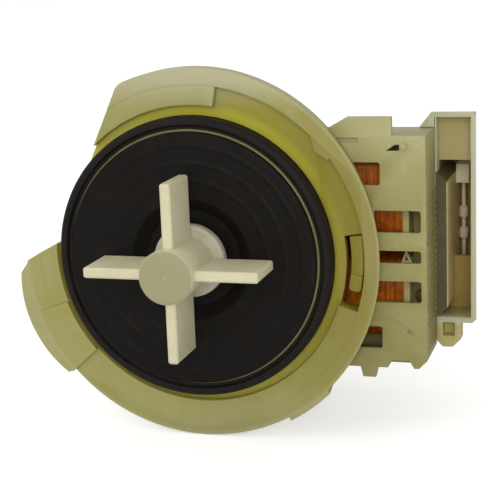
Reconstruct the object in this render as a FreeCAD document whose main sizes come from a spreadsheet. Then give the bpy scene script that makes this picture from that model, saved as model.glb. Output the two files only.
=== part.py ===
import FreeCAD, Part
import math
import os
import re

import Sketcher

# Drain pump of a dishwasher, in millimetres. The origin lies on the pump axis, in the front face of the
# bayonet flange. The pump axis is Y: the impeller looks towards -Y, the motor lies towards +Y. The stator
# reaches out to +X and +Z is up.

DOC = FreeCAD.newDocument("drain_pump")
SHEET = DOC.addObject("Spreadsheet::Sheet", "sizes")
V = FreeCAD.Vector

# Dimensions: alias, value, meaning. Lengths are in millimetres and angles in degrees. An angle about the
# pump axis is measured from +X towards +Z. A value that starts with = follows from other dimensions.
SIZES = [
    ("flange_radius", "=seal_radius + pad_gap + pad_width + band_width", "bayonet flange, outer radius"),
    ("flange_thick", 4.9, "bayonet flange, front face to rear face"),
    ("band_width", 4.0, "raised outer band of the flange"),
    ("pad_width", 4.7, "radial width of the pads, and of the latch opening between them"),
    ("pad_sink", 0.25, "pads of the flange, below the band"),
    ("web_sink", 2.2, "sunk web of the flange, below the band"),
    ("pad_gap", 2.3, "gap between the seal ring and the pads"),
    ("recess_start", -17.0, "angle at which the sunk web starts"),
    ("recess_end", 81.0, "angle at which the sunk web ends"),
    ("opening_start", -17.5, "angle of the lower end of the latch opening"),
    ("tongue_end", -11.5, "angle of the free end of the latch tongue"),
    ("tongue_root", 8.5, "angle of the root of the latch tongue"),
    ("tongue_near", 1.15, "gap between the pads' radius and the latch tongue"),
    ("tongue_far", 0.6, "gap between the latch tongue and the band"),
    ("tongue_proud", 0.6, "catch of the latch tongue, ahead of the web"),
    ("tongue_thick", 2.2, "thickness of the latch tongue"),
    ("tongue_round", 0.9, "rounded free end of the latch tongue"),
    ("tongue_swing", 0.35, "gap between the tongue and its root"),
    ("lug_reach", 2.0, "reach of the lug inside the band"),
    ("lug_heel", 0.6, "reach of the lug's lower end inside the band"),
    ("lug_start", 35.5, "angle at which the lug starts"),
    ("lug_peak", 40.7, "angle of the lug's innermost corner"),
    ("lug_end", 45.6, "angle at which the lug ends"),
    ("lobe_rise", 4.6, "left lobe, beyond the flange's radius"),
    ("lobe_radius", 26.7, "radius of the left lobe's own curve"),
    ("lobe_middle", 204.0, "angle of the middle of the left lobe"),
    ("lobe_spread", 32.0, "half of the left lobe's curve, about its own centre"),
    ("lobe_end", 222.0, "angle at which the left lobe ends"),
    ("lobe_pad_start", 200.0, "angle at which the left lobe's raised pad starts"),
    ("lobe_start", 183.0, "angle at which the left lobe starts"),
    ("lobe_step", 0.9, "left lobe, ahead of the band"),
    ("tail_rise", 1.2, "lower right lobe, beyond the flange's radius"),
    ("tail_start", 299.0, "angle at which the lower right lobe starts"),
    ("tail_end", 314.5, "angle at which the lower right lobe ends"),
    ("cut_top", 113.5, "angle of the upper end of the cut-away side"),
    ("cut_low", 140.0, "angle at which the cut-away side meets the seal"),
    ("cut_end", 175.0, "angle at which the cut-away side leaves the seal"),
    ("cut_margin", 0.9, "flange beyond the seal ring where it is cut away"),
    ("cut_round", 4.0, "rounded corner above the cut-away side"),
    ("spigot_radius", "=seal_radius - seal_width", "seal land of the spigot"),
    ("spigot_wall", 2.2, "wall of the spigot"),
    ("spigot_reach", 2.5, "spigot, ahead of the flange"),
    ("seal_radius", 34.0, "outer radius of the seal ring"),
    ("seal_width", 3.0, "radial width of the seal ring, from the seal land"),
    ("seal_round", 0.8, "bevelled outer edges of the seal ring"),
    ("can_bore", 13.3, "inner radius of the rotor can"),
    ("can_wall", 1.2, "wall of the rotor can"),
    ("can_floor", 45.2, "rear end of the rotor chamber, behind the flange's front"),
    ("end_wall", 1.4, "closed end of the rotor can"),
    ("plate_margin", 0.5, "spigot, beyond the rim of the front plate"),
    ("plate_proud", 1.5, "rim of the front plate, ahead of the spigot"),
    ("plate_wall", 1.8, "thickness of the front plate"),
    ("skirt_wall", 2.0, "skirt of the front plate inside the spigot"),
    ("ridge_height", 0.45, "concentric ridges of the front plate"),
    ("ridge_width", 0.9, "width of each ridge"),
    ("ridge_margin", 3.1, "outermost ridge, inside the rim of the front plate"),
    ("ridge_pitch", 4.2, "radial pitch of the ridges"),
    ("ridge_count", 3, "number of ridges"),
    ("dish_radius", 14.6, "radius of the dished centre"),
    ("dish_floor", 11.6, "radius of the flat floor of the dish"),
    ("dish_depth", 2.6, "depth of the dish below the plate's front"),
    ("fit_gap", 0.1, "clearance where one round piece sits in another"),
    ("seat_gap", 0.05, "clearance where a bush or rubber seat sits in its bore"),
    ("boss_radius", 9.0, "bearing boss of the front plate"),
    ("boss_end", 9.6, "rear end of the front bearing boss"),
    ("holder_bore", 6.6, "bore for a rubber bearing seat"),
    ("bush_radius", 4.5, "outer radius of a bearing bush"),
    ("bush_length", 5.6, "length of a bearing bush"),
    ("seat_lip", 0.8, "inward lip of a rubber bearing seat"),
    ("seat_hold", 1.0, "reach of that lip over the end of the bush"),
    ("shaft_radius", 2.0, "rotor shaft"),
    ("shaft_bevel", 0.4, "bevelled ends of the shaft"),
    ("run_gap", 0.04, "running clearance on the shaft, radial"),
    ("lip_radius", 5.6, "outer radius of the shaft seal"),
    ("lip_length", 2.6, "length of the shaft seal"),
    ("lip_rim", 1.6, "rim of the shaft seal"),
    ("lip_root", 2.2, "shaft seal, from its outside to the root of its lip"),
    ("passage_gap", 1.0, "space round the shaft behind the shaft seal"),
    ("ring_section", 1.6, "side of the chamber seal's square section"),
    ("washer_radius", 4.4, "thrust washers"),
    ("washer_thick", 0.8, "thickness of a thrust washer"),
    ("sink", 0.5, "overlap where a pad of a piece sinks into the rest of it"),
    ("bite", 0.2, "overlap where a small pad sinks into the rest of its piece"),
    ("past", 1.0, "cut beyond the face that it opens"),
    ("end_play", 0.25, "axial play of the rotor at each washer"),
    ("carrier_radius", 3.6, "core of the magnet carrier"),
    ("carrier_flange", 9.4, "end flanges of the magnet carrier"),
    ("carrier_rim", 1.6, "thickness of the carrier's end flanges"),
    ("magnet_radius", 12.5, "rotor magnet"),
    ("magnet_length", 24.0, "length of the rotor magnet"),
    ("hub_radius", 6.3, "impeller hub"),
    ("hub_reach", 22.4, "front of the impeller hub, ahead of the flange"),
    ("hub_wall", 1.0, "wall of the hub round the coupling"),
    ("hub_round", 0.5, "bevelled front edge of the hub"),
    ("gate_radius", 1.1, "round moulding mark on the hub's front"),
    ("gate_depth", 0.25, "depth of the moulding mark"),
    ("shaft_entry", 4.0, "length of shaft inside the impeller's front bore"),
    ("blade_front", 19.6, "front edge of the blades, ahead of the flange"),
    ("blade_back", 6.5, "rear edge of the blades, ahead of the flange"),
    ("blade_radius", 21.0, "tip radius of the blades"),
    ("blade_thick", 2.5, "thickness of a blade"),
    ("blade_round", 0.4, "bevel of the blade's edges"),
    ("blade_count", 4, "number of blades"),
    ("cap_radius", 8.8, "coupling cap behind the blades"),
    ("cap_front", 5.6, "front of the coupling cap, ahead of the flange"),
    ("cap_thick", 2.6, "thickness of the coupling cap"),
    ("cap_round", 0.8, "bevelled edge of the coupling cap"),
    ("spigot_in_hub", 1.6, "collar of the coupling cap inside the hub"),
    ("dog_angle", 60.0, "width of the drive dog"),
    ("key_angle", 50.0, "width of the key inside the hub"),
    ("buffer_angle", 8.0, "rubber on each side of the key"),
    ("dog_length", 6.0, "length of the drive dog along the shaft"),
    ("dog_collar", 3.1, "radius of the drive dog's collar"),
    ("core_front", 18.8, "front face of the laminations"),
    ("core_depth", 22.4, "stack thickness of the laminations"),
    ("core_end", 57.5, "outer end of the core's base"),
    ("core_half", 17.5, "half height of the core"),
    ("core_chamfer", 2.2, "cut corners of the base"),
    ("base_width", 8.2, "width of the core's base"),
    ("leg_width", 9.5, "width of each leg"),
    ("pole_gap", 0.8, "gap between the poles and the can"),
    ("pole_ring", 5.2, "thickness of the poles round the can"),
    ("pole_split", 6.0, "gap between the upper and lower pole"),
    ("tip_width", 2.4, "flat at the inner pole tips"),
    ("rivet_radius", 1.2, "core rivets"),
    ("rivet_head", 1.9, "heads of the core rivets"),
    ("rivet_rise", 0.8, "height of a rivet's head"),
    ("bobbin_gap", 0.15, "clearance of a bobbin on its leg"),
    ("bobbin_wall", 1.1, "wall of a bobbin"),
    ("bobbin_rim", 1.6, "thickness of a bobbin's end flanges"),
    ("bobbin_start", 22.6, "inner end of the bobbins"),
    ("winding", 3.6, "depth of the winding on the bobbin"),
    ("rim_margin", 0.4, "end flanges, beyond the winding"),
    ("wire_radius", 0.8, "wire of the modelled outer layer"),
    ("wire_turns", 6, "turns of the modelled outer layer"),
    ("wire_bend", 2.0, "corner radius of the outer layer"),
    ("lead_bend", 1.2, "bend where the outer layer's ends turn to the bobbin's end flanges"),
    ("cover_wall", 1.2, "wall of the coil cover and rear cover"),
    ("cover_right", 54.6, "right side of the coil cover"),
    ("cover_top", 28.5, "top of the coil cover"),
    ("cover_low", 27.0, "bottom of the coil cover, below the axis"),
    ("shell_top", 24.1, "top and bottom of the rear cover, from the axis"),
    ("crest_top", 32.8, "top of the raised crest of the coil cover"),
    ("crest_depth", 1.5, "thickness of the crest and of the tooth"),
    ("crest_left", 36.4, "left end of the crest's flat top"),
    ("crest_right", 46.8, "right end of the crest"),
    ("cover_left", 20.4, "left end of the coil cover"),
    ("bar_left", 41.2, "left side of the upright bar beside the middle windows"),
    ("gap_half", 14.5, "half height of the open front behind the flange"),
    ("port_left", 37.4, "left ends of the outer windows"),
    ("slope_left", 31.8, "left end of the crest's slope"),
    ("slope_low", 30.2, "lower end of the crest's slope"),
    ("groove_left", 31.0, "left end of the groove under the crest"),
    ("groove_width", 8.0, "length of the groove under the crest"),
    ("groove_z", 27.4, "middle of the groove under the crest"),
    ("groove_half", 0.6, "half height of the groove"),
    ("groove_depth", 0.7, "depth of the groove"),
    ("vent_left", 45.5, "left corner of the small three-sided hole"),
    ("vent_right", 48.6, "right side of the small three-sided hole"),
    ("vent_low", 25.0, "lower side of the small three-sided hole"),
    ("vent_high", 26.4, "upper side of the small three-sided hole"),
    ("window_near", 44.0, "right ends of the outer windows"),
    ("window_left", 42.4, "left ends of the three middle windows"),
    ("slit_half", 1.5, "half height of the middle window"),
    ("pane_low", 5.8, "inner edge of the second and fourth window"),
    ("pane_high", 11.0, "outer edge of the second and fourth window"),
    ("port_low", 16.9, "inner edge of the first and fifth window"),
    ("port_high", 22.3, "outer edge of the first and fifth window"),
    ("corner_round", 0.7, "rounded corners of the windows"),
    ("tooth_low", 29.5, "tooth below the coil cover"),
    ("tooth_left", 39.2, "left side of the tooth"),
    ("tooth_width", 3.0, "width of the tooth at its end"),
    ("tooth_flare", 0.6, "tooth, wider on each side at its root"),
    ("notch_left", 46.3, "left side of the bottom notch, at its top"),
    ("notch_width", 4.1, "width of the bottom notch, at its top"),
    ("notch_flare", 1.1, "bottom notch, wider on each side at its mouth"),
    ("notch_rise", 1.9, "depth of the bottom notch"),
    ("notch_depth", 4.6, "notch, from the cover's front face"),
    ("drip_cut", 2.0, "slope of the lower right corner"),
    ("peg_x", 49.6, "peg on the coil cover, from the axis"),
    ("peg_z", 26.1, "peg on the coil cover, above the axis"),
    ("peg_radius", 0.75, "peg on the coil cover"),
    ("peg_rise", 0.9, "height of the peg"),
    ("dimple_x", 50.5, "dimple of the coil cover, from the axis"),
    ("dimple_z", 18.0, "dimple of the coil cover, below the axis"),
    ("dimple_radius", 0.55, "dimple of the coil cover"),
    ("dimple_depth", 0.5, "depth of the dimple"),
    ("serration", 1.6, "pitch of the small ribs on the cover's side"),
    ("serration_rise", 0.3, "height of the small ribs"),
    ("serration_low", -23.0, "lowest of the small ribs"),
    ("serration_count", 24, "number of small ribs"),
    ("rear_end", 48.0, "rear face of the rear cover"),
    ("exit_gap", 0.3, "clearance where the core and can pass a cover"),
    ("screw_radius", 1.5, "motor screws"),
    ("screw_head", 2.9, "heads of the motor screws"),
    ("head_height", 1.8, "height of a screw's head"),
    ("screw_boss", 3.3, "bosses and ears for the motor screws"),
    ("screw_bite", 9.0, "length of screw inside a flange boss"),
    ("ear_thick", 3.0, "thickness of the ears for the motor screws"),
    ("screw_ring", 27.4, "distance of the left screw from the axis"),
    ("screw_x", 15.0, "distance of the upper and lower screws beside the axis"),
    ("screw_z", 26.4, "distance of the upper and lower screws above and below it"),
    ("box_right", 64.4, "right side of the terminal box's frame"),
    ("box_top", 32.3, "top of the terminal box's frame"),
    ("box_low", 19.2, "bottom of the terminal box, below the axis"),
    ("box_left", 50.9, "left side of the terminal box"),
    ("frame_wall", 1.35, "edge of the terminal box's frame"),
    ("frame_depth", 5.0, "depth of the recess inside the terminal box's frame"),
    ("box_slope", 3.0, "sloped upper left corner of the box, sideways"),
    ("box_bevel", 1.0, "bevelled right corners of the box"),
    ("box_taper", 7.2, "taper of the box's right side and top, in degrees"),
    ("body_end", 44.0, "rear of the terminal box"),
    ("box_wall", 1.2, "wall of the terminal box"),
    ("side_wall", 0.9, "right wall of the terminal box at its rear"),
    ("panel_low", 20.0, "lower edge of the panel inside the box"),
    ("lip_top", -5.0, "top of the wall behind the shelf"),
    ("sill_depth", 11.0, "shelf under the stack, from the box's front"),
    ("hook_drop", 6.2, "catch below the box"),
    ("hook_right", 60.6, "right side of the catch"),
    ("hook_bevel", 2.0, "bevelled lower right corner of the catch"),
    ("hook_bar", 1.5, "sides of the catch beside its pocket"),
    ("hook_floor", 2.8, "lower edge of the catch below its pocket"),
    ("hook_thick", 4.2, "depth of the catch"),
    ("socket_high", 27.6, "top of the connector socket"),
    ("socket_low", 4.6, "bottom of the connector socket"),
    ("socket_reach", 10.0, "connector socket, behind the box"),
    ("socket_shift", 1.65, "socket's rim, beyond the box's left side and behind the rear cover"),
    ("socket_wall", 1.1, "wall of the socket's rim"),
    ("tab_wide", 6.3, "width of a terminal tab"),
    ("tab_thick", 0.8, "thickness of a terminal tab"),
    ("tab_upper", 21.6, "middle of the upper tab"),
    ("tab_lower", 11.6, "middle of the lower tab"),
    ("tab_reach", 5.5, "length of a tab inside the socket"),
    ("tab_root", 0.6, "length of a tab inside the box, ahead of its rear wall"),
    ("tab_hole", 0.8, "hole near the end of a tab"),
    ("tab_bevel", 1.0, "bevelled end of a tab"),
    ("clip_block_low", 12.6, "bottom of the core clip's block"),
    ("clip_block_high", 17.3, "top of the core clip's block"),
    ("clip_width", 2.7, "width of the core clip's block"),
    ("clip_front", 37.6, "front of the core clip"),
    ("clip_depth", 3.0, "depth of the core clip's block"),
    ("clip_stalk", 0.55, "half width of the core clip's stalk"),
    ("clip_end", -8.6, "floor of the box's deep part, where the core clip ends"),
    ("bead_upper", 4.4, "height of the upper bead"),
    ("bead_lower", -1.0, "height of the lower bead"),
    ("bead_radius", 1.15, "half width of the beads"),
    ("bead_half", 2.3, "half length of the beads"),
]


def fill_sheet():
    """Write every dimension into the sheet, with its meaning beside it."""
    for row, (alias, value, meaning) in enumerate(SIZES, start=1):
        SHEET.set("A%d" % row, meaning)
        SHEET.set("B%d" % row, str(value))
        SHEET.setAlias("B%d" % row, alias)
    DOC.recompute()


ALIASES = {alias for alias, value, meaning in SIZES}


def bound(formula):
    """Turn a formula over the aliases into an expression that reads the sheet."""
    return re.sub(r"[a-z]\w+", lambda word: ("sizes." if word.group() in ALIASES else "") + word.group(), formula)


def size(formula):
    """Value of a formula over the aliases, in millimetres or degrees."""
    result = SHEET.evalExpression(bound(formula))
    return float(getattr(result, "Value", result))


# Places that several pieces share, worked out from the driving dimensions.
BAND_BORE = "(flange_radius - band_width)"
PAD_INNER = "(seal_radius + pad_gap)"
TONGUE_INNER = "(seal_radius + pad_gap + tongue_near)"
TONGUE_OUTER = "(flange_radius - band_width - tongue_far)"
PLATE_RADIUS = "(spigot_radius - plate_margin)"
SPIGOT_BORE = "(spigot_radius - spigot_wall)"
CAN_RADIUS = "(can_bore + can_wall)"
HOLDER_END = "(can_floor + bush_length)"
CAN_END = "(can_floor + bush_length + end_wall)"
DISH_Y = "(dish_depth - spigot_reach - plate_proud)"
SHAFT_HOLE = "(shaft_radius + run_gap)"
CORE_BACK = "(core_front + core_depth)"
CORE_MIDDLE = "(core_front + core_depth / 2)"
BORE_RADIUS = "(can_bore + can_wall + pole_gap)"
POLE_RADIUS = "(can_bore + can_wall + pole_gap + pole_ring)"
LEG_LOW = "(core_half - leg_width)"
LEG_MIDDLE = "(core_half - leg_width / 2)"
BASE_LEFT = "(core_end - base_width)"
BOBBIN_END = "(core_end - base_width - bobbin_gap)"
FORMER_Y = "(core_depth / 2 + bobbin_gap + bobbin_wall)"
FORMER_Z = "(leg_width / 2 + bobbin_gap + bobbin_wall)"
MAGNET_START = "(core_front + core_depth / 2 - magnet_length / 2)"
MAGNET_END = "(core_front + core_depth / 2 + magnet_length / 2)"
SHELL_RADIUS = "(can_bore + can_wall + pole_gap + pole_ring + exit_gap + cover_wall)"
SHELL_FLAT = "(core_half + exit_gap + cover_wall)"
COVER_INNER = "(cover_right - cover_wall)"
BOX_SIDE = "(cover_right + fit_gap)"
BOX_END = "(body_end + socket_reach)"
RIGHT_END = "(box_right - tan(box_taper) * (body_end - core_front))"
TOP_END = "(box_top - tan(box_taper) * (body_end - core_front))"
SOCKET_RIGHT = "(box_right - tan(box_taper) * (body_end + socket_reach - core_front))"
SOCKET_LEFT = "(%s - socket_shift)" % BOX_SIDE
SOCKET_RIM = "(rear_end + exit_gap)"
TAB_X = "((%s + %s) / 2)" % (SOCKET_LEFT, SOCKET_RIGHT)
STALK_X = "(core_end + bead_radius + fit_gap)"
HUB_CAVITY = "(hub_radius - hub_wall)"
DOG_START = "(cap_front + spigot_in_hub + fit_gap * 3)"
FRAME_BACK = "(core_front + frame_depth)"


def origin_plane(body, role):
    """Origin plane or axis of a body, found by its role."""
    return [item for item in body.Origin.OriginFeatures if item.Role == role][0]


def new_body(label):
    """Empty PartDesign body for one piece."""
    body = DOC.addObject("PartDesign::Body", label)
    body.Label = label
    DOC.recompute()
    return body


def new_sketch(body, name, role, offset="0"):
    """Sketch on one of the body's origin planes, moved along the plane's normal by offset."""
    sketch = body.newObject("Sketcher::SketchObject", name)
    sketch.AttachmentSupport = [(origin_plane(body, role), "")]
    sketch.MapMode = "FlatFace"
    sketch.setExpression("AttachmentOffset.Base.z", bound(offset))
    return sketch


def pin(sketch, index, point, axis, formula):
    """Hold one coordinate of a sketch point at a formula."""
    number = sketch.addConstraint(Sketcher.Constraint("Distance" + axis, -1, 1, index, point, size(formula)))
    sketch.setExpression("Constraints[%d]" % number, bound(formula))


def polar(radius, angle):
    """Sketch corner at a radius and an angle about the sketch's origin."""
    return ("(%s) * cos(%s)" % (radius, angle), "(%s) * sin(%s)" % (radius, angle))


def outline(sketch, corners):
    """Closed outline. A corner is (x, y), or (x, y, turn) where an arc about the sketch's origin leaves it,
    or (x, y, turn, centre x, centre y); turn is 1 counter-clockwise and -1 clockwise. Every corner is
    pinned to its formulas, and where an arc ends, one coordinate is enough."""
    places = [(size(corner[0]), size(corner[1])) for corner in corners]
    ends = []
    for number, corner in enumerate(corners):
        here = places[number]
        there = places[(number + 1) % len(corners)]
        turn = corner[2] if len(corner) > 2 else 0
        if turn == 0:
            line = Part.LineSegment(V(here[0], here[1], 0), V(there[0], there[1], 0))
            ends.append((sketch.addGeometry(line, False), 1, 2, None))
            continue
        middle = (size(corner[3]), size(corner[4])) if len(corner) > 3 else (0.0, 0.0)
        first, last = (here, there) if turn > 0 else (there, here)
        start = math.atan2(first[1] - middle[1], first[0] - middle[0])
        stop = math.atan2(last[1] - middle[1], last[0] - middle[0])
        if stop <= start:
            stop += 2 * math.pi
        radius = math.hypot(here[0] - middle[0], here[1] - middle[1])
        whole = Part.Circle(V(middle[0], middle[1], 0), V(0, 0, 1), radius)
        edge = sketch.addGeometry(Part.ArcOfCircle(whole, start, stop), False)
        if len(corner) > 3:
            pin(sketch, edge, 3, "X", corner[3])
            pin(sketch, edge, 3, "Y", corner[4])
        else:
            sketch.addConstraint(Sketcher.Constraint("Coincident", edge, 3, -1, 1))
        ends.append((edge, 1, 2, middle) if turn > 0 else (edge, 2, 1, middle))
    for number, corner in enumerate(corners):
        edge, begin, finish, middle = ends[number]
        before = ends[number - 1]
        sketch.addConstraint(Sketcher.Constraint("Coincident", before[0], before[2], edge, begin))
        arrived = before[3]
        if arrived is None:
            pin(sketch, edge, begin, "X", corner[0])
            pin(sketch, edge, begin, "Y", corner[1])
        elif abs(places[number][1] - arrived[1]) >= abs(places[number][0] - arrived[0]):
            pin(sketch, edge, begin, "X", corner[0])
        else:
            pin(sketch, edge, begin, "Y", corner[1])


def rectangle(sketch, left, low, right, high):
    """Rectangle between two pinned corners."""
    outline(sketch, [(left, low), (right, low), (right, high), (left, high)])


def circle(sketch, x, y, radius):
    """Circle with a pinned centre and a bound radius."""
    index = sketch.addGeometry(Part.Circle(V(size(x), size(y), 0), V(0, 0, 1), size(radius)), False)
    if x == "0" and y == "0":
        sketch.addConstraint(Sketcher.Constraint("Coincident", index, 3, -1, 1))
    else:
        pin(sketch, index, 3, "X", x)
        pin(sketch, index, 3, "Y", y)
    number = sketch.addConstraint(Sketcher.Constraint("Radius", index, size(radius)))
    sketch.setExpression("Constraints[%d]" % number, bound(radius))


def solid_step(body, kind, name, sketch, length, reversed_way):
    """Pad or pocket of a sketch over a bound length; its effect on the volume is checked."""
    before = body.Shape.Volume if body.Tip else 0.0
    feature = body.newObject("PartDesign::" + kind, name)
    feature.Profile = sketch
    feature.setExpression("Length", bound(length))
    feature.Reversed = reversed_way
    DOC.recompute()
    change = body.Shape.Volume - before
    if (kind == "Pad") != (change > 0):
        raise RuntimeError("%s of %s changes the volume by %.3f" % (name, body.Label, change))
    return feature


def pad_back(body, name, sketch, length):
    """Pad an XZ sketch towards +Y, or an XY or YZ sketch along its normal."""
    return solid_step(body, "Pad", name, sketch, length, "XZ_Plane" in sketch.AttachmentSupport[0][0].Role)


def pocket_back(body, name, sketch, length):
    """Cut an XZ sketch towards +Y, or an XY or YZ sketch along its normal."""
    flipped = "XZ_Plane" not in sketch.AttachmentSupport[0][0].Role
    return solid_step(body, "Pocket", name, sketch, length, flipped)


def from_y(place):
    """Offset that puts an XZ sketch at a place along Y; the plane's normal points to -Y."""
    return "-(%s)" % place


def turned(label, corners, place="0"):
    """Piece turned about the Y axis from (radius, y) corners, then set along the axis."""
    body = new_body(label)
    sketch = new_sketch(body, label + "_profile", "XY_Plane")
    outline(sketch, corners)
    revolve(body, label + "_turned", sketch)
    body.setExpression("Placement.Base.y", bound(place))
    return body


def revolve(body, name, sketch):
    """Full turn of an XY sketch about the Y axis."""
    feature = body.newObject("PartDesign::Revolution", name)
    feature.Profile = sketch
    feature.ReferenceAxis = (sketch, ["V_Axis"])
    feature.Angle = 360
    DOC.recompute()
    return feature


def edge_names(body, name, chosen):
    """Names of the edges of the body's tip for which chosen(edge) is true; there must be one."""
    names = ["Edge%d" % (number + 1) for number, edge in enumerate(body.Tip.Shape.Edges) if chosen(edge)]
    if not names:
        raise RuntimeError("%s of %s finds no edge" % (name, body.Label))
    return names


def chamfer(body, name, width, chosen):
    """Even chamfer of the edges of the body's tip for which chosen(edge) is true."""
    base = body.Tip
    names = edge_names(body, name, chosen)
    feature = body.newObject("PartDesign::Chamfer", name)
    feature.Base = (base, names)
    feature.setExpression("Size", bound(width))
    DOC.recompute()
    return feature


def fillet(body, name, radius, chosen):
    """Fillet of the edges of the body's tip for which chosen(edge) is true."""
    base = body.Tip
    names = edge_names(body, name, chosen)
    feature = body.newObject("PartDesign::Fillet", name)
    feature.Base = (base, names)
    feature.setExpression("Radius", bound(radius))
    DOC.recompute()
    return feature


def ring_sector(inner, outer, start, stop):
    """Corners of a ring sector between two radii and two angles."""
    return [polar(inner, start), polar(outer, start) + (1,), polar(outer, stop), polar(inner, stop) + (-1,)]


def is_round(edge, radius, y=None):
    """Whether an edge is a circle about the pump axis with a radius, at a place along Y."""
    curve = edge.Curve
    if not isinstance(curve, Part.Circle) or abs(curve.Radius - radius) > 0.01:
        return False
    if math.hypot(curve.Center.x, curve.Center.z) > 0.01:
        return False
    return y is None or abs(curve.Center.y - y) < 0.01


def screw_spots():
    """Centres of the motor screws in the XZ plane."""
    return [("-screw_ring", "0"), ("screw_x", "screw_z"), ("screw_x", "-screw_z")]


def pump_flange():
    """Bayonet flange, spigot and closed rotor can: one translucent moulding."""
    body = new_body("pump_flange")
    section = new_sketch(body, "flange_section", "XY_Plane")
    outline(section, [
        ("0", HOLDER_END),
        ("holder_bore", HOLDER_END),
        ("holder_bore", "can_floor"),
        ("can_bore", "can_floor"),
        ("can_bore", "web_sink"),
        (SPIGOT_BORE, "web_sink"),
        (SPIGOT_BORE, "-spigot_reach"),
        ("spigot_radius", "-spigot_reach"),
        ("spigot_radius", "web_sink"),
        (PAD_INNER, "web_sink"),
        (PAD_INNER, "pad_sink"),
        (BAND_BORE, "pad_sink"),
        (BAND_BORE, "0"),
        ("flange_radius", "0"),
        ("flange_radius", "flange_thick"),
        (CAN_RADIUS, "flange_thick"),
        (CAN_RADIUS, "can_floor + end_wall"),
        ("holder_bore + end_wall", "can_floor + end_wall"),
        ("holder_bore + end_wall", CAN_END),
        ("0", CAN_END),
    ])
    revolve(body, "flange_turned", section)

    cut = new_sketch(body, "cut_side", "XZ_Plane")
    outline(cut, [
        polar("flange_radius", "cut_top"),
        polar("(seal_radius + cut_margin)", "cut_low") + (1,),
        polar("(seal_radius + cut_margin)", "cut_end"),
        polar("flange_radius", "lobe_start"),
        polar("flange_radius + past", "lobe_start") + (-1,),
        polar("flange_radius + past", "cut_top"),
    ])
    pocket_back(body, "cut_side_pocket", cut, "flange_thick")
    corner = V(size(polar("flange_radius", "cut_top")[0]), 0, size(polar("flange_radius", "cut_top")[1]))
    fillet(body, "cut_corner", "cut_round", lambda edge: runs_along_y_at(edge, corner))

    lobe = new_sketch(body, "left_lobe", "XZ_Plane")
    middle = polar("(flange_radius + lobe_rise - lobe_radius)", "lobe_middle")
    first = polar("lobe_radius", "lobe_middle - lobe_spread")
    last = polar("lobe_radius", "lobe_middle + lobe_spread")
    outline(lobe, [
        polar("flange_radius - sink", "lobe_start"),
        (middle[0] + " + " + first[0], middle[1] + " + " + first[1], 1, middle[0], middle[1]),
        (middle[0] + " + " + last[0], middle[1] + " + " + last[1]),
        polar("flange_radius - sink", "lobe_end") + (-1,),
    ])
    pad_back(body, "left_lobe_pad", lobe, "flange_thick")

    raised = new_sketch(body, "lobe_face", "XZ_Plane", from_y("-lobe_step"))
    outline(raised, ring_sector(PAD_INNER, "flange_radius + lobe_step", "lobe_pad_start", "lobe_end"))
    pad_back(body, "lobe_face_pad", raised, "lobe_step + pad_sink")

    tail = new_sketch(body, "right_lobe", "XZ_Plane")
    outline(tail, ring_sector("flange_radius - sink", "flange_radius + tail_rise", "tail_start", "tail_end"))
    pad_back(body, "right_lobe_pad", tail, "flange_thick")

    recess = new_sketch(body, "web_recess", "XZ_Plane")
    outline(recess, ring_sector(PAD_INNER, BAND_BORE, "recess_start", "recess_end"))
    pocket_back(body, "web_recess_pocket", recess, "web_sink")

    lug = new_sketch(body, "band_lug", "XZ_Plane")
    outline(lug, [
        polar(BAND_BORE + " + sink", "lug_start") + (1,),
        polar(BAND_BORE + " + sink", "lug_end"),
        polar(BAND_BORE + " - lug_reach", "lug_peak"),
        polar(BAND_BORE + " - lug_heel", "lug_start"),
    ])
    pad_back(body, "band_lug_pad", lug, "web_sink + pad_sink")

    opening = new_sketch(body, "latch_opening", "XZ_Plane")
    outline(opening, ring_sector(PAD_INNER, BAND_BORE, "opening_start", "tongue_root"))
    pocket_back(body, "latch_opening_pocket", opening, "flange_thick")

    for number, (x, z) in enumerate(screw_spots(), start=1):
        boss = new_sketch(body, "screw_boss_%d" % number, "XZ_Plane", from_y("flange_thick"))
        circle(boss, x, z, "screw_boss")
        pad_back(body, "screw_boss_%d_pad" % number, boss, "core_front - flange_thick")
        bottom = "(core_front - screw_bite - fit_gap)"
        bore = new_sketch(body, "screw_bore_%d" % number, "XZ_Plane", from_y(bottom))
        circle(bore, x, z, "screw_radius + seat_gap")
        pocket_back(body, "screw_bore_%d_pocket" % number, bore, "screw_bite + fit_gap")
    return body


def runs_along_y_at(edge, point, reach=0.05):
    """Whether an edge is straight, parallel to Y and passes a point of the XZ plane."""
    if not isinstance(edge.Curve, (Part.Line, Part.LineSegment)):
        return False
    first, last = edge.Vertexes[0].Point, edge.Vertexes[-1].Point
    return all(math.hypot(end.x - point.x, end.z - point.z) < reach for end in (first, last))


def latch_tongue():
    """Springy tongue in the flange's latch opening, with a catch at its free end."""
    body = new_body("latch_tongue")
    root = "tongue_root - tongue_swing * 180 / (pi * %s)" % TONGUE_INNER
    arm = new_sketch(body, "tongue_arm", "XZ_Plane", from_y("web_sink"))
    outline(arm, ring_sector(TONGUE_INNER, TONGUE_OUTER, "tongue_end", root))
    pad_back(body, "tongue_arm_pad", arm, "tongue_thick")
    catch = new_sketch(body, "tongue_catch", "XZ_Plane", from_y("(web_sink - tongue_proud)"))
    outline(catch, ring_sector(TONGUE_INNER, TONGUE_OUTER, "tongue_end", "tongue_end / 2"))
    pad_back(body, "tongue_catch_pad", catch, "tongue_proud")
    inner = polar(TONGUE_INNER, "tongue_end")
    outer = polar(TONGUE_OUTER, "tongue_end")
    inner_point = V(size(inner[0]), 0, size(inner[1]))
    outer_point = V(size(outer[0]), 0, size(outer[1]))
    fillet(body, "tongue_tip", "tongue_round",
           lambda edge: runs_along_y_at(edge, inner_point) or runs_along_y_at(edge, outer_point))
    return body


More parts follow.
